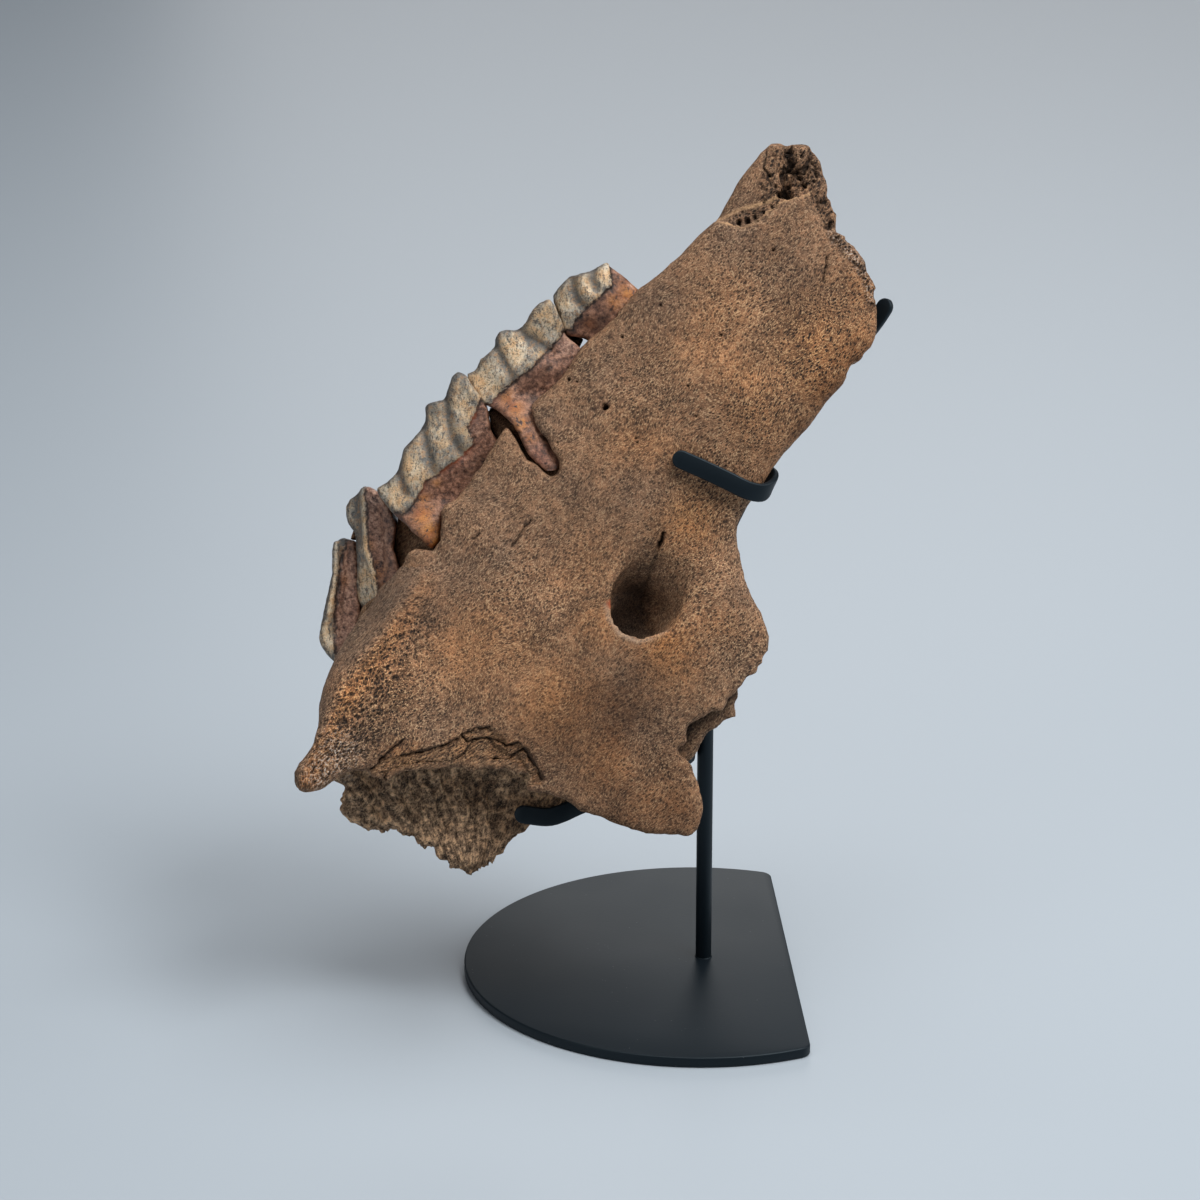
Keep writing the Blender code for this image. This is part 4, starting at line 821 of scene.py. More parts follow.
# Each tooth, laid out on the bone's face in mm: the enamel's lower line, the furrows and ridges of its
# outer side, its outline, the heights of its outer and inner sides, the valley cut down into its crown
# (top, floor and outer end), and the places of its pale lobes and of its root's stains.
# The tan patches are tan stains, and on the molars partly a painted highlight on their lit ridges.
TEETH = {
    "premolar_2": {
        "enamel": [(-20, 97), (-13.5, 98), (-10, 99), (-8.9, 102.5), (-4.7, 107.1), (0.3, 111.3),
                   (4.6, 114.6),
                   (4, 118), (2.8, 126)],
        "furrows": [[(-10.8, 120), (-9.8, 114), (-8.6, 109.5), (-6.4, 107.6)],
                    [(-2.5, 122), (-3, 117), (-1.5, 113.5)]],
        "outline": [
            (-17.3, 111.5), (-14.5, 115), (-11, 118.5), (-8.5, 118.9), (-6, 119.5), (-2.5, 120.5),
            (0.5, 122.6),
            (2.5, 123.5), (4.5, 121.5), (7, 119.4), (9, 118), (14, 113.5), (24, 104), (25, 95), (17, 86),
            (8, 85), (-4.5, 95), (-8, 96.2), (-12.9, 96.6), (-14.3, 99.4), (-15, 102.3), (-15.9, 105.6),
            (-16.9, 108.6),
        ],
        "outer": [
            (-15, 110, -8), (-7, 116, -5), (2, 119, -5.5), (8, 116, -8), (-9, 105, -7), (0, 112, -4.5),
            (-4, 100, -9), (8, 106, -7.5), (16, 96, -9),
        ],
        "inner": [(-12, 110, -31), (3, 118, -32), (0, 104, -34), (16, 94, -26)],
        "valley": ((-7, 120), (-3, 108), -18),
        "lobes": [(-13.5, 107, 0.75), (-5, 114, 0.8), (2.8, 119.5, 0.9)],
        "orange": [(10.5, 112.5, 4, 0.85), (5.5, 109, 3, 0.55), (-4, 101, 2.5, 0.35)],
        "tan": [(11.5, 115, 1.5, 0.8)],
    },
    "premolar_3": {
        "enamel": [(-58, 72), (-47, 74), (-43.5, 72), (-40.8, 71.5), (-36.6, 75.7), (-33.2, 78.6),
                   (-25.7, 84.1),
                   (-20.7, 89.5), (-14.8, 96.2), (-12, 101), (-8, 108)],
        "furrows": [[(-39, 94), (-36.6, 89), (-34.1, 84.5), (-31.6, 79.4)],
                    [(-31, 100), (-27, 96), (-22.3, 93.4), (-18, 90.6)]],
        "outline": [
            (-49.6, 82.2), (-45.5, 84), (-44, 88), (-41.5, 89.4), (-38.5, 92.5), (-38.6, 95.5), (-37, 97.9),
            (-34.1, 98.8), (-30.5, 98.5), (-27.5, 101), (-25, 105.5), (-22.3, 108.4), (-18.6, 110),
            (-16.8, 107.9), (-15.5, 105.1), (-14.2, 102), (-13.1, 99.3), (-12.6, 96.5), (-7.5, 92.5),
            (0, 84), (-2, 73),
            (-10, 64), (-17, 65), (-21.8, 65.4), (-20, 59.2), (-16.6, 56), (-14, 51.8), (-14, 48.2),
            (-15.8, 45.4), (-19, 46.3), (-22.6, 49), (-26.4, 53), (-29, 58.6), (-32.4, 64.6), (-38, 69.5),
            (-43.6, 71.6), (-47, 76.8), (-49.2, 80.1),
        ],
        "outer": [
            (-44, 82, -8), (-37, 91, -5), (-32, 88, -6), (-24, 97, -7), (-20, 102, -5), (-17, 98, -8),
            (-33, 80, -4.5), (-25, 86, -4.5), (-37, 76, -7), (-28, 75, -8), (-14, 88, -8), (-24, 62, -2.5),
            (-18, 51, -2), (-30, 70, -4), (-8, 76, -10), (-14, 68, -10),
        ],
        "inner": [(-42, 82, -40), (-22, 104, -40), (-25, 80, -43), (-6, 78, -32), (-20, 54, -13),
                  (-28, 66, -30)],
        "valley": ((-36, 99), (-29, 86), -24),
        "lobes": [(-41, 81, 1.0), (-31.5, 91, 1.0), (-20.5, 100.5, 0.75)],
        "orange": [(-33.5, 73.5, 3.2, 0.7), (-31, 70, 3, 0.9), (-28.6, 64.5, 2.6, 0.9),
                   (-25.5, 59, 2.2, 0.6)],
        "red": [(-22, 52, 5, 0.5), (-38, 72, 3, 0.25)],
        "tan": [(-12.5, 93.5, 4.2, 0.7), (-31, 74.5, 2, 0.4)],
    },
    "premolar_4": {
        "enamel": [(-92, 32), (-80.6, 36.7), (-76.5, 32), (-72.5, 31.6), (-69.3, 34.2), (-65.5, 40),
                   (-63.8, 43.4),
                   (-58.4, 46.7), (-50.8, 52.6), (-46.6, 56.8), (-48.3, 62.7), (-45.4, 69.4), (-40, 80)],
        "furrows": [[(-57, 78), (-56.2, 70), (-54.8, 60), (-51.4, 54)], [(-65.4, 66), (-64, 57),
                     (-61.3, 46.8)],
                    [(-74.2, 54), (-73.6, 46), (-71.6, 39)]],
        "outline": [
            (-82.5, 40.5), (-79, 42.5), (-76.8, 44.2), (-74.6, 46.6), (-73.4, 50.5), (-72.2, 55.1),
            (-68.5, 59),
            (-66.4, 61.4), (-64.2, 65), (-64.3, 70.6), (-63, 71.8), (-60.9, 72.4), (-57, 73), (-55.5, 78),
            (-54.3, 81.7), (-52.1, 83.5), (-48.8, 82), (-45.9, 77.2), (-42.2, 72.8), (-41.2, 69.6), (-40, 62),
            (-36, 56), (-30, 48), (-34, 36), (-46, 30), (-54, 34), (-58, 30), (-58.5, 22), (-61.5, 18),
            (-64.5, 21), (-70.5, 26.5), (-77, 32), (-81.5, 38),
        ],
        "outer": [
            (-80, 40, -12), (-72, 44, -8), (-66, 54, -7), (-60, 66, -8), (-56, 70, -6), (-51, 78, -4.5),
            (-49, 70, -6), (-70, 36, -8), (-60, 46, -6), (-50, 58, -6), (-63, 26, -4.5), (-58, 36, -9),
            (-44, 52, -9), (-40, 40, -11), (-54, 62, -5),
        ],
        "inner": [(-76, 42, -50), (-52, 78, -50), (-58, 50, -54), (-40, 42, -42), (-62, 24, -40)],
        "valley": ((-66, 67), (-57, 52), -30),
        "lobes": [(-78, 39, 0.9), (-69.5, 46, 1.0), (-61, 60, 0.55), (-51.5, 72, 0.6)],
        "orange": [(-64.5, 30.5, 4, 1.0), (-62.2, 25, 4, 1.0), (-61, 21, 3, 0.9), (-65, 36.5, 2.6, 0.7),
                   (-60, 43, 1.8, 0.45)],
        "red": [(-53.5, 51.8, 3.2, 1.0), (-49.5, 55, 2.6, 0.9), (-57.5, 48.6, 2.6, 0.9), (-47, 67, 2.4, 0.7),
                (-66, 41, 2.4, 0.6)],
        "tan": [(-44.5, 63, 3, 0.35), (-60, 30, 2, 0.5)],
    },
    "molar_1": {
        "chewing": (-0.97, 0.25),
        "enamel": [(-80, -12), (-82.6, 5), (-84.4, 14), (-86.3, 19.6), (-86.5, 27), (-86.9, 32), (-87.4, 38),
                   (-86, 46)],
        "furrows": [[(-90, 42), (-89.6, 34), (-89.2, 26), (-89, 20)], [(-83.4, 34), (-81.6, 24),
                     (-80.4, 12)]],
        "ridges": [[(-88.4, 42), (-87.9, 31), (-87.5, 26), (-87.3, 20), (-85.4, 14), (-83.6, 5.5),
                    (-82, -4)]],
        "outline": [
            (-88.5, 41), (-86.9, 41.6), (-85, 41), (-82.1, 39.2), (-77.4, 33.6), (-75.2, 27),
            (-76.2, 18), (-74, 10),
            (-64, 6), (-60, -2), (-66, -12), (-78, -14), (-87, -8), (-91, 0), (-90.5, 9), (-90.5, 15),
            (-91, 24),
            (-94, 27.5), (-94.9, 33), (-93, 36.4), (-90.5, 38),
        ],
        "outer": [(-86, 38, -20), (-80, 30, -17), (-79, 18, -16), (-91, 30, -26), (-88, 14, -24),
                  (-76, 0, -20)],
        "inner": [(-87, 36, -60), (-90, 20, -62), (-76, 10, -62), (-74, -8, -54)],
        "valley": ((-97, 22), (-84, 18), -38),
        "lobes": [(-93.6, 32, 0.45), (-88, 6, 1.0), (-88, 2, 0.8)],
        "orange": [(-82.4, 10, 3.4, 0.75), (-85, 20, 2.4, 0.5), (-80, 4, 3, 0.5)],
        # Painted highlight on the lit ridge, with tan stain.
        "tan": [(-84.5, 37, 5, 0.95), (-84.5, 29, 5, 0.85), (-82, 21, 4, 0.65), (-80, 12, 4, 0.4)],
    },
    "molar_2": {
        "chewing": (-0.99, 0.1),
        "enamel": [(-96, -34), (-99.2, -20), (-99.6, -8), (-98.4, 0), (-97.6, 8), (-97.2, 14),
                   (-95.5, 19), (-94, 26)],
        "furrows": [[(-96.6, 22), (-96.6, 8), (-98, -4), (-99, -14)]],
        "ridges": [[(-98.4, 20), (-98.6, 8), (-99.6, 0), (-101, -6)]],
        "outline": [
            (-96, 22), (-99.5, 20.5), (-100, 16.5), (-100, 8.5), (-101, 4), (-102, -0.5), (-104, -9.5),
            (-105, -15.5), (-104, -19), (-101, -23), (-90, -32), (-79, -28), (-82, -18), (-88.6, -11),
            (-89.4, 0),
            (-89.8, 10), (-90.9, 20.4),
        ],
        "outer": [(-96, 18, -32), (-95, 4, -30), (-99, -12, -31), (-88, 6, -29), (-80, -14, -30)],
        "inner": [(-96, 14, -70), (-101, -12, -74), (-86, -8, -74), (-78, -18, -66)],
        "valley": ((-108, -2), (-94, -4), -50),
        "lobes": [(-103, -15, 1.0), (-99, 16, 0.8)],
        "orange": [(-96, 6, 2.4, 0.3)],
        # Tan stain, partly painted highlight.
        "tan": [(-94, 12, 6, 0.6), (-94, 0, 6, 0.6), (-97, -12, 7, 0.8)],
    },
}
ENAMEL_STEP = 0.9
TOOTH_TAPER = 0.06
SOCKET_GAP = 0.35


def tooth_outer(sizes):
    """The outer side of a tooth: its crown stands out past the root, and furrows part its lobes."""

    def height(points):
        distance, side = away_from(points, sizes["enamel"])
        crown = np.clip(side * distance / 0.8, -0.5, 0.5) * ENAMEL_STEP
        raised = grooves(points, sizes.get("ridges", []), 0.9, 1.0)
        fallen = grooves(points, sizes["furrows"], 2.2, 1.8)
        return spot_surface(sizes["outer"])(points) + crown + raised - fallen

    return height


maxilla = from_shells("bone", [
    relief(OUTER_PLATE, outer_face, inner_face, RELIEF_STEP, rounding=None, ragged=None),
    relief(TOOTH_BAR, spot_surface(TOOTH_BAR_FRONT), spot_surface(TOOTH_BAR_BACK), 2.4, rounding=7.0),
    relief(PALATE, level(-30), spot_surface(PALATE_BACK), 2.0, rounding=3.0, ragged=0.8),
    relief(SLAB, slab_front, spot_surface(SLAB_BACK), RELIEF_STEP, rounding=3.0, ragged=0.7),
    relief(SOCKET_WALL, level(-10.5), level(-15.5), RELIEF_STEP, rounding=1.5, ragged=0.6),
    relief(FRONT_CORE, core_front, spot_surface(FRONT_CORE_BACK), RELIEF_STEP, rounding=3.0, ragged=0.65),
    *(relief(outline, level(top), level(foot), 2.0, rounding=2.5, ragged=0.5)
      for outline, top, foot in SEPTA),
])
skin(maxilla, FIRST_SKIN)
apply_modifiers(maxilla)
# The sinus and the floor of the nose are hollowed from behind, then the canal, its mouth and the sockets.
cutters = [
    egg((-40, -38, -52), (30, 13, 33), 48),
    egg((22, 34, -46), (52, 17, 26), 54),
    from_shells("canal", [tube(CANAL)]),
    from_shells("canal_fan", [tube(CANAL_FAN)]),
]
for tooth_sizes in TEETH.values():
    cutters.append(grown(from_shells("socket", [
        relief(tooth_sizes["outline"], spot_surface(tooth_sizes["outer"]), spot_surface(tooth_sizes["inner"]),
               2.0, rounding=1.6, taper=TOOTH_TAPER)
    ]), SOCKET_GAP))
cutter = joined(cutters)
skin(cutter, FIRST_SKIN)
apply_modifiers(cutter)
cut_out(maxilla, cutter, LAST_SKIN)

to_face = np.array(FACE.inverted())


def laid_out(piece):
    """A piece's points on the bone's face, in mm, and its normals there."""
    count = len(piece.data.vertices)
    points = np.empty(count * 3)
    normals = np.empty(count * 3)
    piece.data.vertices.foreach_get("co", points)
    piece.data.vertices.foreach_get("normal", normals)
    points = points.reshape(-1, 3) @ to_face[:3, :3].T + to_face[:3, 3]
    normals = normals.reshape(-1, 3) @ (to_face[:3, :3].T * MM)
    return points, normals


def put_back(piece, points, box):
    """Sets a piece's points from the bone's face, kept inside its solid's box."""
    matrix = np.array(FACE)
    world = points @ matrix[:3, :3].T + matrix[:3, 3]
    world = np.clip(world, np.array(box[0]), np.array(box[1]))
    piece.data.vertices.foreach_set("co", world.ravel())
    piece.data.update()


def paint(piece, name, values):
    """A number for each point of a piece, which its material reads."""
    layer = piece.data.attributes.new(name, "FLOAT", "POINT")
    layer.data.foreach_set("value", np.clip(values, 0, 1).astype(np.float32))


def on_face(points, normals, reach=4.0):
    """How far a point belongs to the outer plate's own face, from 0 to 1."""
    height = outer_face(points[:, :2])
    near = np.clip(1.5 - np.abs(points[:, 2] - height) / reach, 0, 1)
    return near * np.clip(normals[:, 2] * 4 - 0.2, 0, 1)


def soften(piece, points, share, rounds):
    """Evens out a surface where share is above 0."""
    edges = np.empty(len(piece.data.edges) * 2, dtype=np.int32)
    piece.data.edges.foreach_get("vertices", edges)
    first, second = edges.reshape(-1, 2).T
    count = np.bincount(first, minlength=len(points)) + np.bincount(second, minlength=len(points))
    for _ in range(rounds):
        total = np.empty_like(points)
        for axis in range(3):
            total[:, axis] = np.bincount(first, weights=points[second, axis], minlength=len(points))
            total[:, axis] += np.bincount(second, weights=points[first, axis], minlength=len(points))
        points = points + (total / count[:, None] - points) * share[:, None] * 0.6
    return points


def refine(piece, chosen):
    """Splits each face that has a chosen point into four."""
    shape = bmesh.new()
    shape.from_mesh(piece.data)
    shape.verts.ensure_lookup_table()
    edges = [edge for edge in shape.edges if chosen[edge.verts[0].index] or chosen[edge.verts[1].index]]
    bmesh.ops.subdivide_edges(shape, edges=edges, cuts=1, use_grid_fill=True)
    bmesh.ops.triangulate(shape, faces=[face for face in shape.faces if len(face.verts) > 4])
    shape.to_mesh(piece.data)
    shape.free()


# The canal's upper and right rims run out smoothly, and its lower left rim stays sharp.
points, normals = laid_out(maxilla)
plan = points[:, :2]
runs_out = np.clip(((plan[:, 0] - 15) * 0.62 + (plan[:, 1] + 1) * 0.78 - 2) / 9, 0, 1)
runs_out *= np.clip((30 - np.hypot(plan[:, 0] - 24, plan[:, 1] - 10)) / 10, 0, 1) * (points[:, 2] > -20)
points = soften(maxilla, points, runs_out * (normals[:, 2] > -0.2), 60)
put_back(maxilla, points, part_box("maxilla"))

# The back is less finely meshed than the face.
points, normals = laid_out(maxilla)
seen = on_face(points, normals, 6) > 0
seen |= (normals[:, 2] > 0.1) & (points[:, 2] > -18)
KEPT_BEHIND = 0.10
hidden = maxilla.vertex_groups.new(name="hidden")
hidden.add(np.flatnonzero(~seen).tolist(), 1.0, "REPLACE")
total = len(maxilla.data.vertices)
fewer = maxilla.modifiers.new("Fewer faces behind", "DECIMATE")
fewer.vertex_group = "hidden"
fewer.ratio = (seen.sum() + KEPT_BEHIND * (~seen).sum()) / total
apply_modifiers(maxilla)
maxilla.vertex_groups.clear()

# Where the bone is open and spongy. The mesh is made finer there and along cracks, holes and torn edges.
POROUS = {
    "core": [(60, 139), (57, 145), (59, 156), (63, 168), (72, 170), (82, 164), (86, 150), (88, 138),
             (84, 131),
             (79, 141), (74, 147), (66, 145)],
    "lens": [(46, 138), (49, 136), (54, 136), (59.5, 139.5), (62, 143), (57, 143.5), (50, 141.5)],
    "rim": [(83, 131), (88, 127.6), (90.6, 124), (92.7, 121), (95.8, 116.8), (97, 112), (97.5, 106),
            (104, 104),
            (104, 116), (96, 132), (88, 138)],
    "cheek": [(-64, 4), (-57, -8), (-66, -22), (-74, -38), (-78, -52), (-88, -60), (-98, -68), (-112, -70),
              (-110, -58), (-100, -44), (-92, -29), (-80, -12), (-70, 1)],
}
points, normals = laid_out(maxilla)
plan = points[:, :2]
face = on_face(points, normals, 6)
close = np.zeros(len(points), dtype=bool)
for path, _, _ in CRACKS:
    close |= away_from(plan, path)[0] < 1.3
for u, v, radius, _ in VESSELS:
    close |= np.hypot(plan[:, 0] - u, plan[:, 1] - v) < radius + 0.9
for name in ("core", "lens", "rim"):
    close |= soft(plan, POROUS[name], 2) > 0.3
close |= (soft(plan, POROUS["cheek"], 6) > 0.6) & (plan[:, 1] < -22)
torn = away_from(plan, SLAB_EDGE)[0] < 3.0
close &= (normals[:, 2] > 0.1) & (points[:, 2] > -16)
close |= torn & (points[:, 2] > -22) & (plan[:, 1] < -62) & (normals[:, 2] > -0.3)
close |= (soft(plan, SLAB, 3) > 0.5) & (plan[:, 1] < -59) & (points[:, 2] > -20) & (normals[:, 2] > 0.2)
refine(maxilla, close)

# The bone's surface: cracks, flakes, pores and wrinkles are pressed into the skin.
points, normals = laid_out(maxilla)
plan = points[:, :2]
face = on_face(points, normals, 6)
front = np.clip(normals[:, 2] * 3, 0, 1)
sink = np.zeros(len(points))
# Painted shade is gathered in the cracks, clefts and holes below.
painted_recess_shade = np.zeros(len(points))
flake = np.zeros(len(points))
for path, depth, half in CRACKS:
    fall = fade(away_from(plan + sideways(points, 1.6) * 0.45, path)[0], half * 0.85)
    sink += depth * fall * face
    painted_recess_shade = np.maximum(painted_recess_shade, fall * face)
for path, depth in FLAKES:
    distance, side = away_from(plan + sideways(points, 1.8) * 0.5, path)
    under = (side < 0) & (plan[:, 1] > -67) & (plan[:, 0] < -21) & (plan[:, 0] > -86)
    sink += depth * np.where(under, np.clip(distance / 0.5, 0, 1), 0) * face
    flake = np.maximum(flake, np.where(under, np.clip(distance / 0.8, 0, 1), 0) * face)
for path, depth, half in CLEFTS:
    fall = fade(away_from(plan + sideways(points, 2, 1) * 0.5, path)[0], half)
    fall = fall * front * (plan[:, 1] > 146) * (points[:, 2] > -15)
    sink += depth * fall
    painted_recess_shade = np.maximum(painted_recess_shade, fall)
for u, v, radius, depth in VESSELS + CELLS:
    away = np.hypot(plan[:, 0] - u, plan[:, 1] - v) / radius
    if radius > 0.65:
        away += 0.6 * grain(points, 1.2, 2)
    fall = np.exp(-(np.clip(away, 0, 9) ** 4)) * front * (points[:, 2] > -14)
    sink += depth * fall
    painted_recess_shade = np.maximum(painted_recess_shade, fall)
porous = np.zeros(len(points))
for name, outline in POROUS.items():
    blur = 12 if name == "cheek" else 2.5
    porous = np.maximum(porous, soft(plan, outline, blur))
porous *= np.clip(normals[:, 2] * 2 + 0.4, 0, 1) * (points[:, 2] > -17)
# The bone's own direction runs up to the right, and its pores and wrinkles are drawn out along it.
along = plan[:, 0] * 0.77 + plan[:, 1] * 0.64
across = plan[:, 1] * 0.77 - plan[:, 0] * 0.64
front_end = plan[:, 1] > 100
drawn = np.column_stack([along / 1.9, across, points[:, 2]])
sponge = np.where(front_end, grain(points, 1.15, 2), grain(drawn, 0.85, 2))
pit = np.clip((sponge - np.where(plan[:, 1] > 142, 0.34, 0.22)) / 0.4, 0, 1)
sink += pit * porous * np.where(front_end, 0.9, 0.6)
sink += porous * (plan[:, 1] > 140) * 0.7 * grain(points, 4.5, 2)
slab = soft(plan, SLAB, 3) * (points[:, 2] < 4) * (plan[:, 1] < -56) * (1 - face)
# The slab's fibres fan out from a place below it, and the flakes' layers lie nearly level.
FAN_FROM = (-47, -116)
FAN_WIDTH = 34
FAN_LENGTH = 0.16
spread = np.column_stack([plan[:, 0] - FAN_FROM[0], plan[:, 1] - FAN_FROM[1]])
reach = np.hypot(spread[:, 0], spread[:, 1])
fibres = np.column_stack([
    np.arctan2(spread[:, 0], spread[:, 1]) * FAN_WIDTH, reach * FAN_LENGTH, points[:, 2] * 0.7
])
serrated = fade(away_from(plan, SLAB_EDGE[1:])[0], 2.6) * (plan[:, 1] < -66) * (points[:, 2] < 0)
laid = np.column_stack([
    (plan[:, 0] * 0.91 + plan[:, 1] * 0.41) * 0.2, plan[:, 1] * 0.91 - plan[:, 0] * 0.41, points[:, 2] * 0.3
])
sink += flake * 0.35 * grain(laid, 0.9, 2)
slab_lumps = 0.8 * grain(fibres, 2.0, 2) + 1.0 * grain(fibres + 9, 5, 2) + 1.0 * grain(points, 6, 2)
sink += slab * front * slab_lumps
sink += np.maximum(slab, serrated * (points[:, 2] > -30)) * serrated * 1.5 * grain(fibres + 5, 1.3, 2)
behind = 1 - np.clip(normals[:, 2] * 3 + 1, 0, 1)
sink += behind * 0.7 * grain(points, 9, 3)
wrinkled = np.column_stack([along, across * 3, points[:, 2]])
for u, v, radius, height in SWELLS:
    sink -= height * spot(plan, u, v, radius) * face
lane = away_from(plan + 0.4 * sideways(points, 3, 1), CANAL_GROOVE)[0]
sink += 1.1 * fade(lane, 0.7) * (normals[:, 2] > 0.05) * (points[:, 2] > -18)
# Painted shade down the canal's groove.
painted_recess_shade = np.maximum(painted_recess_shade, 0.55 * fade(lane, 0.8) * (points[:, 2] > -18))
sink += face * (0.30 * grain(points, 16, 2) + 0.13 * grain(wrinkled, 5, 2) + 0.10 * grain(points, 2.4, 2))
broken = (1 - np.clip(normals[:, 2] * 2.5, 0, 1)) * (points[:, 2] > -22)
wear = edge_wear(plan)[0]
sink += broken * wear * 0.7 * grain(points, 2.2, 2)
points = points - normals * sink[:, None]
put_back(maxilla, points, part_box("maxilla"))

# Stains of the face: place, radius and amount. They are orange, then greyish, then more open in grain.
WARM = [
    (23, -19, 13, 1.0), (84, 88, 24, 0.75), (40, 100, 22, 0.35), (-8, 15, 16, 0.45), (-47, -16, 20, 0.6),
    (-16, -36, 16, 0.75), (2, -58, 12, 0.5), (33, 29, 12, 0.85), (0, -8, 12, 0.5), (44, -8, 12, 0.35),
    (60, 70, 18, 0.5), (25, 55, 16, 0.4), (-75, -30, 14, 0.35), (96, 112, 10, 0.5), (52, 80, 14, 0.45),
    (20, -75, 14, 0.3), (-30, -20, 14, 0.5), (14, 54, 13, 0.6), (-70, -56, 7, 0.8), (-50, -53, 6, 0.7),
    (-36, -54, 6, 0.6), (-96, -30, 8, 0.7),
]
DULL = [
    (12, 42, 13, 0.7), (-20, 66, 9, 0.6), (-53, 10, 13, 0.8), (-44, 36, 12, 0.5), (51, 1, 10, 0.6),
    (51, 131, 12, 0.6), (22, 109, 14, 0.6), (12, -27, 12, 0.6), (-5, 64, 10, 0.2), (-32, 22, 10, 0.4),
    (60, 22, 12, 0.5), (15, -45, 12, 0.5), (70, 122, 14, 0.4), (48, -22, 10, 0.3), (-18, 20, 14, 0.55),
    (-62, -2, 12, 0.6), (-36, 18, 14, 0.6), (-10, 40, 12, 0.4), (30, 62, 10, 0.35), (0, 30, 12, 0.35),
    (-58, -48, 14, 0.3), (2, 85, 12, 0.4),
]
OPEN = [
    (80, 92, 26, 0.75), (60, 110, 24, 0.5), (88, 110, 14, 0.6), (-82, -35, 28, 0.7), (44, 40, 22, 0.6),
    (30, 5, 24, 0.45), (48, -14, 18, 0.5), (-30, 5, 22, 0.4), (60, 70, 20, 0.6), (20, 75, 20, 0.3),
    (25, -60, 18, 0.35), (-48, -52, 14, 0.5),
]
# Painted shade, where the face and the slab should look darker, then the paler parts of the face: place,
# radius and amount.
PAINTED_SHADE = [
    (6, -43, 17, 0.95), (-12, -52, 13, 0.6), (24, -60, 11, 0.5), (0, -66, 12, 0.4), (76, 110, 15, 0.45),
    (62, 126, 11, 0.35), (-6, -20, 9, 0.25), (-58, -4, 12, 0.2), (-30, -46, 12, 0.35),
    (64, 52, 8, 0.4), (10, 24, 8, 0.3), (-80, -56, 8, 0.3), (93, 86, 10, 0.9), (84, 74, 9, 0.8),
    (76, 63, 8, 0.7),
    (8, -77, 14, 0.7), (27, -78, 11, 0.7), (-2, -66, 10, 0.6), (52, 66, 8, 0.3),
]
# Paler parts of the face: partly paler bone, partly painted light where the face should look more lit.
PALE_AND_PAINTED_LIGHT = [
    (44, 10, 10, 0.7), (32, 4, 8, 0.6), (38, 92, 14, 0.5), (82, 92, 15, 0.55), (60, 84, 14, 0.45),
    (-20, 4, 13, 0.3), (30, 52, 10, 0.4), (10, 40, 10, 0.25), (54, 104, 10, 0.35), (-94, -58, 9, 0.4),
    (-74, -30, 12, 0.35), (-34, -28, 12, 0.3), (58, -8, 7, 0.5), (-13, 58, 8, 0.7), (29, -12, 8, 0.5),
    (23, 4, 7, 0.9), (31, -3, 7, 0.6), (-92, -28, 10, 0.9),
    (-102, -42, 9, 1.0), (-98, -52, 9, 0.9), (-104, -60, 8, 0.8), (-90, -38, 9, 0.5), (-8, 90, 9, 0.5),
    (-42, 30, 8, 0.4), (-30, 40, 9, 0.3), (-73, -22, 10, 0.8), (14, 54, 10, 0.7), (-14, 0, 10, 0.5),
    (-95, -44, 8, 0.8), (-60, 6, 8, 0.5), (5, 74, 10, 0.4),
]


def patches(plan, spots):
    total = np.zeros(len(plan))
    for u, v, radius, amount in spots:
        total = np.maximum(total, amount * spot(plan, u, v, radius))
    return total


shifted = sideways(points, 6)
crest_away, crest_side = away_from(plan, CREST)
aside = np.where(crest_side < 0, np.clip(crest_away / 3, 0, 1), 0) * (plan[:, 0] < -60) * (plan[:, 1] < 12)
aside *= points[:, 2] > -20
# A painted highlight just inside the cheek bone's crest, on the side that faces the light.
lit_crest = fade(crest_away - 2.5, 4.5) * (crest_side > 0) * soft(plan, POROUS["cheek"], 14)
depth_below = outer_face(plan) - points[:, 2]
in_canal = (np.hypot(plan[:, 0] - 13, plan[:, 1] - 1) < 24) * (points[:, 2] > -25)
rust = np.exp(-((np.hypot(plan[:, 0] - 3.5, (plan[:, 1] + 1.4) * 0.55) / 0.9) ** 4)) * (depth_below < 7)
paint(maxilla, "rust", rust)
# Painted shade in the hollow behind the lower right break and deep in the canal, a painted highlight along
# the canal's lip, and the pale broken rims.
HOLLOW_RIM = [(55.5, -28), (50, -34), (45, -39), (38.5, -42), (33, -46), (32, -51), (28.5, -55)]
hollow = away_from(plan, HOLLOW_RIM)[0]
painted_recess_shade = np.maximum(painted_recess_shade, fade(hollow, 2.4) * 0.85 * (depth_below > 3.5) * (points[:, 2] > -20))
canal_depth_shade = in_canal * np.clip((depth_below - 9) / 8, 0, 0.9) * np.clip((21 - plan[:, 0]) / 6, 0, 1)
paint(maxilla, "painted_recess_shade", np.maximum(painted_recess_shade, canal_depth_shade) * (1 - rust))
# A painted highlight along the canal's lower rim.
CANAL_LIP = [(2.2, -2), (3.2, -6.4), (7, -12), (13.6, -15.2), (19, -14), (24, -10.8), (28.6, -4.5)]
lip_highlight = away_from(plan, CANAL_LIP)[0]
paint(maxilla, "lip_highlight", fade(lip_highlight, 0.9) * face * (depth_below < 3) * (0.75 + 0.5 * grain(points, 4)))
FRONT_RIM = OUTER_PLATE[:9]
LENS_RIM = [(42.6, 138.6), (47, 140.6), (52, 142.6), (57, 144), (62, 145.8), (66, 148)]
rim_line = fade(away_from(plan + 0.3 * shifted, FRONT_RIM)[0], 0.65) * (depth_below < 2.5)
lens_line = fade(away_from(plan + 0.3 * shifted, LENS_RIM)[0], 0.6) * (points[:, 2] > -15)
rim_line = np.maximum(rim_line, lens_line)
paint(maxilla, "rimline", rim_line * front * (0.75 + 0.6 * shifted[:, 0]))
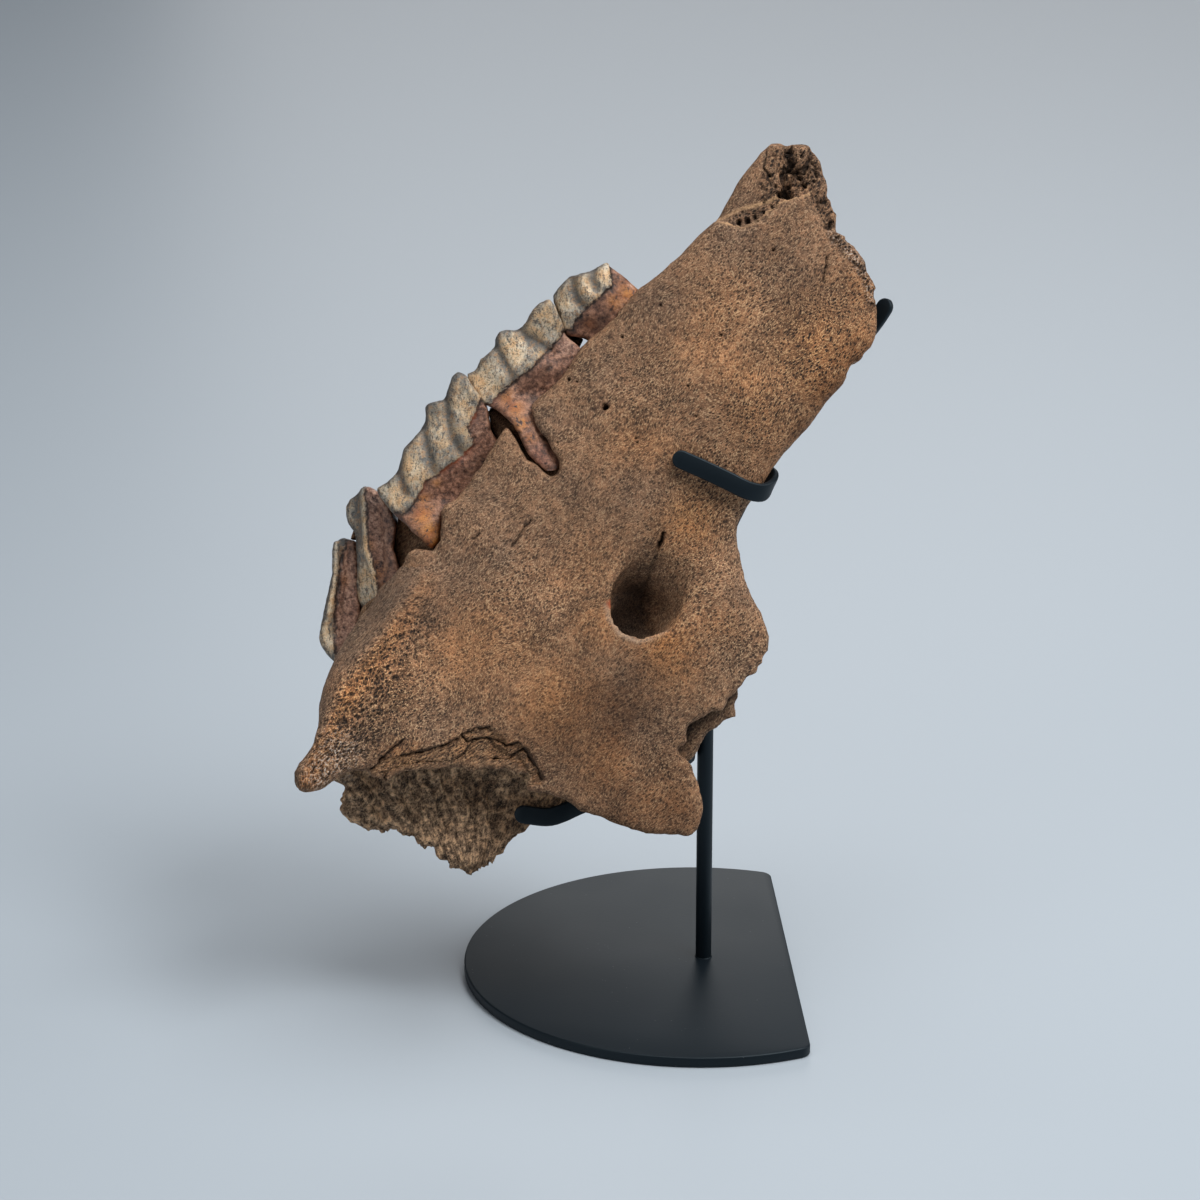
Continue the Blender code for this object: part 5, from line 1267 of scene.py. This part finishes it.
# Painted shade on the face and on the lower right of the slab.
paint(maxilla, "painted_shade", patches(plan + 4 * shifted, PAINTED_SHADE) * face
      + patches(plan + 3 * shifted, [(-26, -84, 14, 0.6), (-45, -74, 8, 0.35)]) * slab)
# Paler bone and painted light on the face.
paint(maxilla, "pale", patches(plan + 4 * shifted, PALE_AND_PAINTED_LIGHT) * face)
paint(maxilla, "open", 0.25 + patches(plan, OPEN) * face)
paint(maxilla, "pit", pit * porous)
paint(maxilla, "porous", porous)
# Orange stains, and the painted highlight along the crest.
paint(maxilla, "warm_stain_and_highlight", patches(plan, WARM) * face + lit_crest * 0.8)
paint(maxilla, "dull", patches(plan, DULL) * face + aside * 0.8)
paint(maxilla, "slab", slab)
paint(maxilla, "flake", flake)
paint(maxilla, "inner", 1 - np.clip(face * 1.5 + porous + aside, 0, 1))
paint(maxilla, "broken", broken * np.clip(wear * 2 - 0.3, 0, 1) * (1 - aside))
front_rim = away_from(plan, [(85, 133), (91, 128), (95.5, 120), (99, 110)])[0]
grey = soft(plan, [(-106, -72), (-90, -66), (-86, -54), (-94, -46), (-103, -52)], 10)
grey = np.maximum(grey, 0.8 * fade(front_rim, 2.6))
paint(maxilla, "grey", grey * porous)
rounded_look(maxilla, 180)


BONE_TURN = math.radians(-48)


def face_place(tree):
    """Object coordinates turned to the bone's face, in mm."""
    place = tree.nodes.new("ShaderNodeTexCoord").outputs["Object"]
    made = tree.nodes.new("ShaderNodeMapping")
    made.vector_type = "TEXTURE"
    made.inputs["Location"].default_value = FACE.to_translation()
    made.inputs["Rotation"].default_value = FACE.to_euler()
    made.inputs["Scale"].default_value = (MM, MM, MM)
    tree.links.new(place, made.inputs["Vector"])
    return made.outputs["Vector"]


def attribute(tree, name):
    made = tree.nodes.new("ShaderNodeAttribute")
    made.attribute_name = name
    return made.outputs["Fac"]


def stepped(tree, value, start, end):
    """A mask that rises smoothly from 0 to 1 as a value goes from start to end."""
    made = node(tree, "MapRange", {"interpolation_type": "SMOOTHSTEP"}, Value=value, i1=start, i2=end)
    return made.outputs[0]


def stain(tree, name, share):
    """A painted mask, made weaker or stronger by a share."""
    return times(tree, attribute(tree, name), share, clamp=True)


def pores_group():
    """Fine vascular pores and pale flecks, drawn out along the bone's own direction."""
    tree, start, end = group(
        "bone_pores",
        [("Place", "NodeSocketVector", None), ("Size", "NodeSocketFloat", 1.0),
         ("Stretch", "NodeSocketFloat", 1.8)],
        [("Pores", "NodeSocketFloat"), ("Flecks", "NodeSocketFloat"), ("Height", "NodeSocketFloat")],
    )
    swirl = node(tree, "TexNoise", Vector=start.outputs["Place"], Scale=0.05, Detail=1).outputs["Color"]
    bent = node(tree, "VectorMath", {"operation": "MULTIPLY_ADD"}, i0=swirl, i1=(7, 7, 7),
                i2=start.outputs["Place"])
    turned = node(tree, "Mapping", {"vector_type": "POINT"}, Vector=bent.outputs[0],
                  Rotation=(0, 0, BONE_TURN))
    long = node(tree, "CombineXYZ", X=calc(tree, "DIVIDE", 1.0, start.outputs["Stretch"]), Y=1.0, Z=1.0)
    drawn = node(tree, "VectorMath", {"operation": "MULTIPLY"}, i0=turned.outputs[0], i1=long.outputs[0])
    sized = node(tree, "VectorMath", {"operation": "SCALE"}, i0=drawn.outputs[0],
                 Scale=calc(tree, "DIVIDE", 1.0, start.outputs["Size"]))
    fine = cloudy(tree, sized.outputs[0], 1.35, 2, 0.65)
    nearest = node(tree, "TexVoronoi", Vector=sized.outputs[0], Scale=0.60).outputs["Distance"]
    dash = stepped(tree, nearest, 0.44, 0.22)
    wide = cloudy(tree, sized.outputs[0], 0.37, 2, 0.6)
    both = calc(tree, "ADD", times(tree, fine, 0.78), times(tree, wide, 0.22))
    specks = times(tree, stepped(tree, both, 0.470, 0.410), 0.55)
    flecks = stepped(tree, both, 0.525, 0.585)
    clear = calc(tree, "SUBTRACT", 1.0, dash)
    feed(tree, end.inputs["Pores"], calc(tree, "MAXIMUM", dash, specks))
    feed(tree, end.inputs["Flecks"], times(tree, flecks, clear))
    feed(tree, end.inputs["Height"], scaled(tree, dash, -0.25, both))
    return tree


PORES = pores_group()


def pores(tree, place, size, stretch):
    made = tree.nodes.new("ShaderNodeGroup")
    made.node_tree = PORES
    tree.links.new(place, made.inputs["Place"])
    made.inputs["Size"].default_value = size
    made.inputs["Stretch"].default_value = stretch
    return made.outputs


def fossil_bone():
    made, tree, shader = finish("Fossil bone")
    place = face_place(tree)
    cloud = cloudy(tree, place, 0.035, 3, 0.55)
    blotch = cloudy(tree, place, 0.12, 5, 0.6)
    mottle = cloudy(tree, place, 0.40, 4, 0.6)
    fine = pores(tree, place, 0.57, 1.9)
    coarse = pores(tree, place, 0.80, 1.8)
    opened = attribute(tree, "open")
    porous = attribute(tree, "porous")
    # Orange stains, and the painted highlight along the cheek bone's crest.
    warm_stain_and_highlight = stain(tree, "warm_stain_and_highlight", scaled(tree, blotch, 1.6, 0.0))
    dull = stain(tree, "dull", scaled(tree, blotch, 1.4, 0.15))
    colour = ramp(tree, blotch, [(0.30, (0.150, 0.081, 0.046)), (0.48, (0.238, 0.128, 0.071)),
                                 (0.68, (0.335, 0.184, 0.102))])
    colour = mix(tree, times(tree, warm_stain_and_highlight, 0.9), colour, (0.40, 0.165, 0.056))
    colour = mix(tree, times(tree, dull, 0.8), colour, (0.130, 0.088, 0.064))
    drift = ramp(tree, cloud, [(0.30, (0.72, 0.73, 0.76)), (0.5, (1.0, 1.0, 1.0)), (0.7, (1.25, 1.20, 1.14))])
    colour = mix(tree, 1.0, colour, drift, "MULTIPLY")
    slab = attribute(tree, "slab")
    flat = node(tree, "SeparateXYZ", Vector=place).outputs
    from_u, from_v = calc(tree, "ADD", flat[0], -FAN_FROM[0]), calc(tree, "ADD", flat[1], -FAN_FROM[1])
    swing = times(tree, calc(tree, "ARCTAN2", from_u, from_v), FAN_WIDTH)
    reach = calc(tree, "SQRT", calc(tree, "ADD", times(tree, from_u, from_u), times(tree, from_v, from_v)))
    strand = node(tree, "CombineXYZ", X=swing, Y=times(tree, reach, FAN_LENGTH), Z=flat[2]).outputs[0]
    fibre = cloudy(tree, strand, 0.70, 4, 0.7)
    fibre = calc(tree, "ADD", times(tree, fibre, 0.5), times(tree, mottle, 0.5))
    colour = mix(tree, stain(tree, "inner", 0.5), colour, (0.150, 0.088, 0.052))
    colour = mix(tree, stain(tree, "broken", 0.55), colour, (0.30, 0.165, 0.092))
    colour = mix(tree, times(tree, slab, 0.95), colour,
                 ramp(tree, fibre, [(0.38, (0.050, 0.032, 0.021)), (0.49, (0.27, 0.170, 0.102)),
                                    (0.59, (0.74, 0.48, 0.285))]))
    laid = node(tree, "Mapping", {"vector_type": "TEXTURE"}, Vector=place, Rotation=(0, 0, math.radians(24)),
                Scale=(4.5, 0.65, 1.0)).outputs[0]
    layer = cloudy(tree, laid, 1.0, 3, 0.6)
    layered = attribute(tree, "flake")
    colour = mix(tree, times(tree, layered, 0.7), colour,
                 ramp(tree, layer, [(0.37, (0.055, 0.030, 0.019)), (0.5, (0.26, 0.135, 0.070)),
                                    (0.61, (0.56, 0.30, 0.145))]))
    colour = mix(tree, 0.8, colour, ramp(tree, mottle, [(0.36, (0.60, 0.61, 0.64)), (0.5, (0.97, 0.97, 0.97)),
                                                        (0.64, (1.34, 1.30, 1.24))]), "MULTIPLY")
    flecks = times(tree, fine["Flecks"], scaled(tree, opened, 0.65, 0.32), clamp=True)
    pale = mix(tree, warm_stain_and_highlight, (0.60, 0.395, 0.225), (0.70, 0.375, 0.150))
    pale = mix(tree, times(tree, dull, 0.6), pale, (0.33, 0.25, 0.19))
    colour = mix(tree, flecks, colour, mix(tree, times(tree, slab, 0.6), pale, (0.60, 0.41, 0.255)))
    holes = times(tree, fine["Pores"], scaled(tree, opened, 0.60, 0.42), clamp=True)
    colour = mix(tree, holes, colour, (0.030, 0.022, 0.018))
    # Painted shade: the colour is darkened where the bone should look shaded.
    painted_shade = stain(tree, "painted_shade", scaled(tree, blotch, 1.3, 0.35))
    colour = mix(tree, painted_shade, colour, (0.42, 0.36, 0.31), "MULTIPLY")
    # Paler bone and painted light: the colour is lightened.
    pale_and_painted_light = stain(tree, "pale", scaled(tree, blotch, 1.6, 0.1))
    colour = mix(tree, pale_and_painted_light, colour, mix(tree, 1.0, colour, (1.55, 1.50, 1.45), "MULTIPLY"))
    large = times(tree, coarse["Pores"], times(tree, porous, 0.95))
    colour = mix(tree, large, colour, (0.022, 0.015, 0.012))
    grey = times(tree, attribute(tree, "grey"), coarse["Flecks"])
    colour = mix(tree, times(tree, grey, 0.85), colour, (0.56, 0.47, 0.39))
    for name, share, tint in (
        # The second of these is the pale painted highlight on the canal's lip.
        ("rimline", 0.85, (0.60, 0.36, 0.19)), ("lip_highlight", 0.7, (0.52, 0.37, 0.26)),
        # The painted shade of cracks, holes and hollows is near black.
        ("pit", 0.75, (0.034, 0.023, 0.017)), ("painted_recess_shade", 0.9, (0.014, 0.009, 0.007)),
        ("rust", 0.9, (0.42, 0.085, 0.030)),
    ):
        colour = mix(tree, stain(tree, name, share), colour, tint)
    rough = scaled(tree, fine["Height"], -0.7, 1.05, clamp=True)
    height = times(tree, fine["Height"], scaled(tree, opened, 0.7, 0.35))
    height = calc(tree, "ADD", height, times(tree, mottle, 0.55))
    height = calc(tree, "SUBTRACT", height, times(tree, large, 0.6))
    height = calc(tree, "ADD", height, times(tree, slab, times(tree, fibre, 3.0)))
    height = calc(tree, "ADD", height, times(tree, layered, times(tree, layer, 2.0)))
    surface(tree, shader, colour, rough, height, 0.9, 0.0010)
    shader.inputs["Specular IOR Level"].default_value = 0.22
    return made


maxilla.data.materials.clear()
maxilla.data.materials.append(fossil_bone())
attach(maxilla, "root")
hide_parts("maxilla")

# The cheek teeth: three premolars and two molars, each a ribbed enamel crown on dentine roots that
# sit in sockets of the bone. Enamel is grey to ivory, and the bare dentine is stained brown to orange.
VALLEY_HALF = 3.5
LOBE_RADIUS = 6
TOOTH_STEP = 0.9
TOOTH_FIRST_SKIN = 0.7
TOOTH_LAST_SKIN = 0.6


def valley(top, floor, buccal_end):
    """A rounded trough from the chewing edge down into the crown, open towards the palate."""
    top, floor = Vector((*top, 0)), Vector((*floor, 0))
    down = (floor - top).normalized()
    across = Vector((-down.y, down.x, 0))
    start = top - down * 8
    section = []
    for k in range(13):
        angle = math.pi * k / 12
        section.append(floor + (across * math.cos(angle) + down * math.sin(angle)) * VALLEY_HALF)
    section += [start - across * VALLEY_HALF * 1.4, start + across * VALLEY_HALF * 1.4]
    count = len(section)
    points = [(p.x, p.y, buccal_end) for p in section] + [(p.x, p.y, -120) for p in section]
    faces = [list(range(count)), list(range(count, 2 * count))]
    faces += [[k, (k + 1) % count, (k + 1) % count + count, k + count] for k in range(count)]
    return points, faces


def fossil_tooth():
    made, tree, shader = finish("Fossil tooth")
    place = face_place(tree)
    along = node(tree, "Mapping", {"vector_type": "POINT"}, Vector=place, Rotation=(0, 0, BONE_TURN),
                 Scale=(1.0, 0.36, 1.0)).outputs[0]
    cloud = cloudy(tree, place, 0.17, 4, 0.6)
    streak = cloudy(tree, along, 0.95, 4, 0.68)
    vein = cloudy(tree, place, 0.55, 5, 0.72)
    fine = cloudy(tree, place, 1.7, 4, 0.7)
    lobe = attribute(tree, "lobe")
    enamel = attribute(tree, "enamel")
    pale = ramp(tree, cloud, [(0.36, (0.70, 0.60, 0.46)), (0.5, (0.86, 0.66, 0.430)),
                              (0.62, (0.82, 0.52, 0.275))])
    grey = ramp(tree, cloud, [(0.36, (0.150, 0.148, 0.135)), (0.5, (0.31, 0.265, 0.205)),
                              (0.62, (0.52, 0.375, 0.225))])
    share = scaled(tree, streak, 3.6, scaled(tree, lobe, 1.5, -2.05), clamp=True)
    crown = mix(tree, share, grey, pale)
    blotted = node(tree, "MapRange", Value=calc(tree, "ADD", times(tree, streak, 0.5),
                                              times(tree, fine, 0.5)),
                 i1=0.480, i2=0.425, i3=0.0, i4=1.0).outputs[0]
    crown = mix(tree, times(tree, blotted, 0.80), crown, (0.070, 0.062, 0.055))
    furrowed = stain(tree, "furrow", scaled(tree, streak, 1.4, 0.1))
    crown = mix(tree, furrowed, crown, (0.120, 0.112, 0.100))
    tawny = node(tree, "MapRange", Value=vein, i1=0.50, i2=0.62, i3=0.0, i4=0.6).outputs[0]
    crown = mix(tree, tawny, crown, (0.50, 0.270, 0.115))
    margin = stain(tree, "margin", scaled(tree, vein, 2.4, -0.5))
    crown = mix(tree, margin, crown, (0.032, 0.034, 0.037))
    root = ramp(tree, vein, [(0.34, (0.055, 0.026, 0.018)), (0.48, (0.215, 0.098, 0.060)),
                             (0.60, (0.46, 0.235, 0.145))])
    root = mix(tree, 1.0, root, ramp(tree, cloud, [(0.34, 0.45), (0.5, 0.95), (0.66, 1.0)]), "MULTIPLY")
    orange = attribute(tree, "orange")
    spotted = times(tree, orange, node(tree, "MapRange", Value=vein, i1=0.40, i2=0.47).outputs[0])
    root = mix(tree, spotted, root,
               ramp(tree, cloud, [(0.35, (0.42, 0.12, 0.022)), (0.65, (0.66, 0.27, 0.05))]))
    # Tan stains, partly painted highlight on the molars.
    tan = stain(tree, "tan", scaled(tree, vein, 1.6, 0.1))
    root = mix(tree, tan, root, ramp(tree, vein, [(0.38, (0.10, 0.045, 0.030)), (0.5, (0.40, 0.210, 0.140)),
                                                  (0.62, (0.66, 0.42, 0.300))]))
    root = mix(tree, stain(tree, "red", 0.8), root,
               ramp(tree, vein, [(0.38, (0.07, 0.022, 0.014)), (0.56, (0.30, 0.085, 0.042))]))
    colour = mix(tree, enamel, root, crown)
    dentine = mix(tree, fine, (0.13, 0.085, 0.055), (0.27, 0.19, 0.12))
    colour = mix(tree, attribute(tree, "dentine"), colour, dentine)
    base_line = mix(tree, attribute(tree, "red"), (0.012, 0.009, 0.007), (0.40, 0.095, 0.030))
    colour = mix(tree, stain(tree, "line", 0.95), colour, base_line)
    colour = mix(tree, 0.7, colour, ramp(tree, fine, [(0.34, 0.52), (0.5, 0.95), (0.66, 1.12)]), "MULTIPLY")
    rough = scaled(tree, vein, 0.5, scaled(tree, enamel, 0.14, 0.10), clamp=True)
    height = calc(tree, "ADD", vein, times(tree, fine, 0.5))
    surface(tree, shader, colour, rough, height, 0.7, 0.0007)
    shader.inputs["Specular IOR Level"].default_value = 0.5
    return made


TOOTH = fossil_tooth()
for tooth_name, sizes in TEETH.items():
    piece = from_shells(tooth_name, [
        relief(sizes["outline"], tooth_outer(sizes), spot_surface(sizes["inner"]), TOOTH_STEP, rounding=1.5,
               taper=TOOTH_TAPER, ragged=0.12)
    ])
    skin(piece, TOOTH_FIRST_SKIN)
    cut_out(piece, from_shells("valley", [valley(*sizes["valley"])]), TOOTH_LAST_SKIN)
    points, normals = laid_out(piece)
    plan = points[:, :2]
    distance, side = away_from(plan + sideways(points, 1.0) * 0.6, sizes["enamel"])
    enamel = np.clip(0.5 + side * distance / 0.35, 0, 1)
    line = fade(distance - 0.35, 0.62) * (side < 0)
    furrow = grooves(plan, sizes["furrows"], 1.0, 1.5)
    ridge = grooves(plan, sizes.get("ridges", []), 1.0, 1.1)
    edge = away_from(plan, sizes["outline"], closed=True)[0]
    crown = side > 0
    lobe = np.zeros(len(points))
    for u, v, amount in sizes["lobes"]:
        lobe = np.maximum(lobe, amount * spot(plan, u, v, LOBE_RADIUS))
    lobe = np.clip(np.maximum(lobe - 0.6 * furrow, ridge), 0, 1)
    buccal = tooth_outer(sizes)(plan) - points[:, 2]
    lingual = points[:, 2] - spot_surface(sizes["inner"])(plan)
    wall = np.minimum(buccal, lingual)
    chewing = normals[:, :2] @ np.array(sizes.get("chewing", (-0.75, 0.66)))
    top = crown * np.clip((chewing - 0.35) / 0.25, 0, 1)
    chewed = top * np.clip((wall - 2.2) / 0.8, 0, 1)
    sink = 0.12 * grain(points, 4, 2) + 0.09 * grain(points, 1.4, 2) + 0.35 * line + 1.0 * chewed
    points = points - normals * sink[:, None]
    put_back(piece, points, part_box(tooth_name))
    paint(piece, "enamel", enamel)
    paint(piece, "line", line)
    paint(piece, "lobe", lobe)
    paint(piece, "furrow", furrow * crown)
    paint(piece, "margin", crown * np.clip((chewing + 0.1) / 0.4, 0, 1) * fade(edge, 1.5))
    paint(piece, "dentine", chewed * 0.9)
    for stain_name in ("orange", "tan", "red"):
        paint(piece, stain_name, patches(plan, sizes.get(stain_name, [])) * (buccal < 8))
    rounded_look(piece, 180)
    piece.name = "tooth_" + tooth_name
    piece.data.materials.append(TOOTH)
    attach(piece, "root")
    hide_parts(tooth_name)

# The floor: one plain pale surface that the stand's plate lies on. Large soft lamps hang above, in
# front and behind, and the camera looks slightly down at the bone's outer face.
bpy.ops.object.select_all(action="DESELECT")
bpy.ops.mesh.primitive_plane_add(size=14, location=(0, 3, 0))
floor = bpy.context.object
floor.name = "floor"
pale_floor, _, shader = finish("Pale floor")
shader.inputs["Base Color"].default_value = (0.395, 0.445, 0.490, 1)
shader.inputs["Roughness"].default_value = 0.42
floor.data.materials.append(pale_floor)

world = bpy.data.worlds.new("Studio")
bpy.context.scene.world = world
world.use_nodes = True
background = world.node_tree.nodes["Background"]
background.inputs["Color"].default_value = (0.80, 0.87, 1.0, 1)
background.inputs["Strength"].default_value = 0.10

aim = Vector(FACE.to_translation())
yaw, rise = math.radians(2.95), math.radians(19.1)
back = Vector((-math.sin(yaw) * math.cos(rise), -math.cos(yaw) * math.cos(rise), math.sin(rise)))


def lamp(name, place, size, power, target=None):
    light = bpy.data.lights.new(name, "AREA")
    light.shape = "SQUARE"
    light.size = size
    light.energy = power
    made = bpy.data.objects.new(name, light)
    bpy.context.scene.collection.objects.link(made)
    made.location = place
    made.rotation_euler = ((target or aim) - place).to_track_quat("-Z", "Y").to_euler()


lamp("key", aim + Vector((1.0, -0.75, 1.65)), 0.9, 32.5)
lamp("side", Vector((1.9, 0.1, 0.9)), 0.9, 8)
lamp("fill", aim + Vector((-1.3, -1.1, 0.7)), 1.2, 5)
lamp("overhead", Vector((0.1, 0.3, 2.4)), 2.0, 40, Vector((0.1, 0.3, 0)))
lamp("sheen", Vector((0.4, 3.4, 0.95)), 1.5, 9, Vector((0.1, 0, 0.1)))

camera = bpy.data.objects.new("camera", bpy.data.cameras.new("camera"))
bpy.context.scene.collection.objects.link(camera)
camera.location = aim + back * 1.46
camera.rotation_euler = (-back).to_track_quat("-Z", "Y").to_euler()
camera.data.sensor_width = 36
camera.data.lens = 120
camera.data.clip_end = 50
bpy.context.scene.camera = camera
bpy.context.scene.view_settings.view_transform = "Standard"
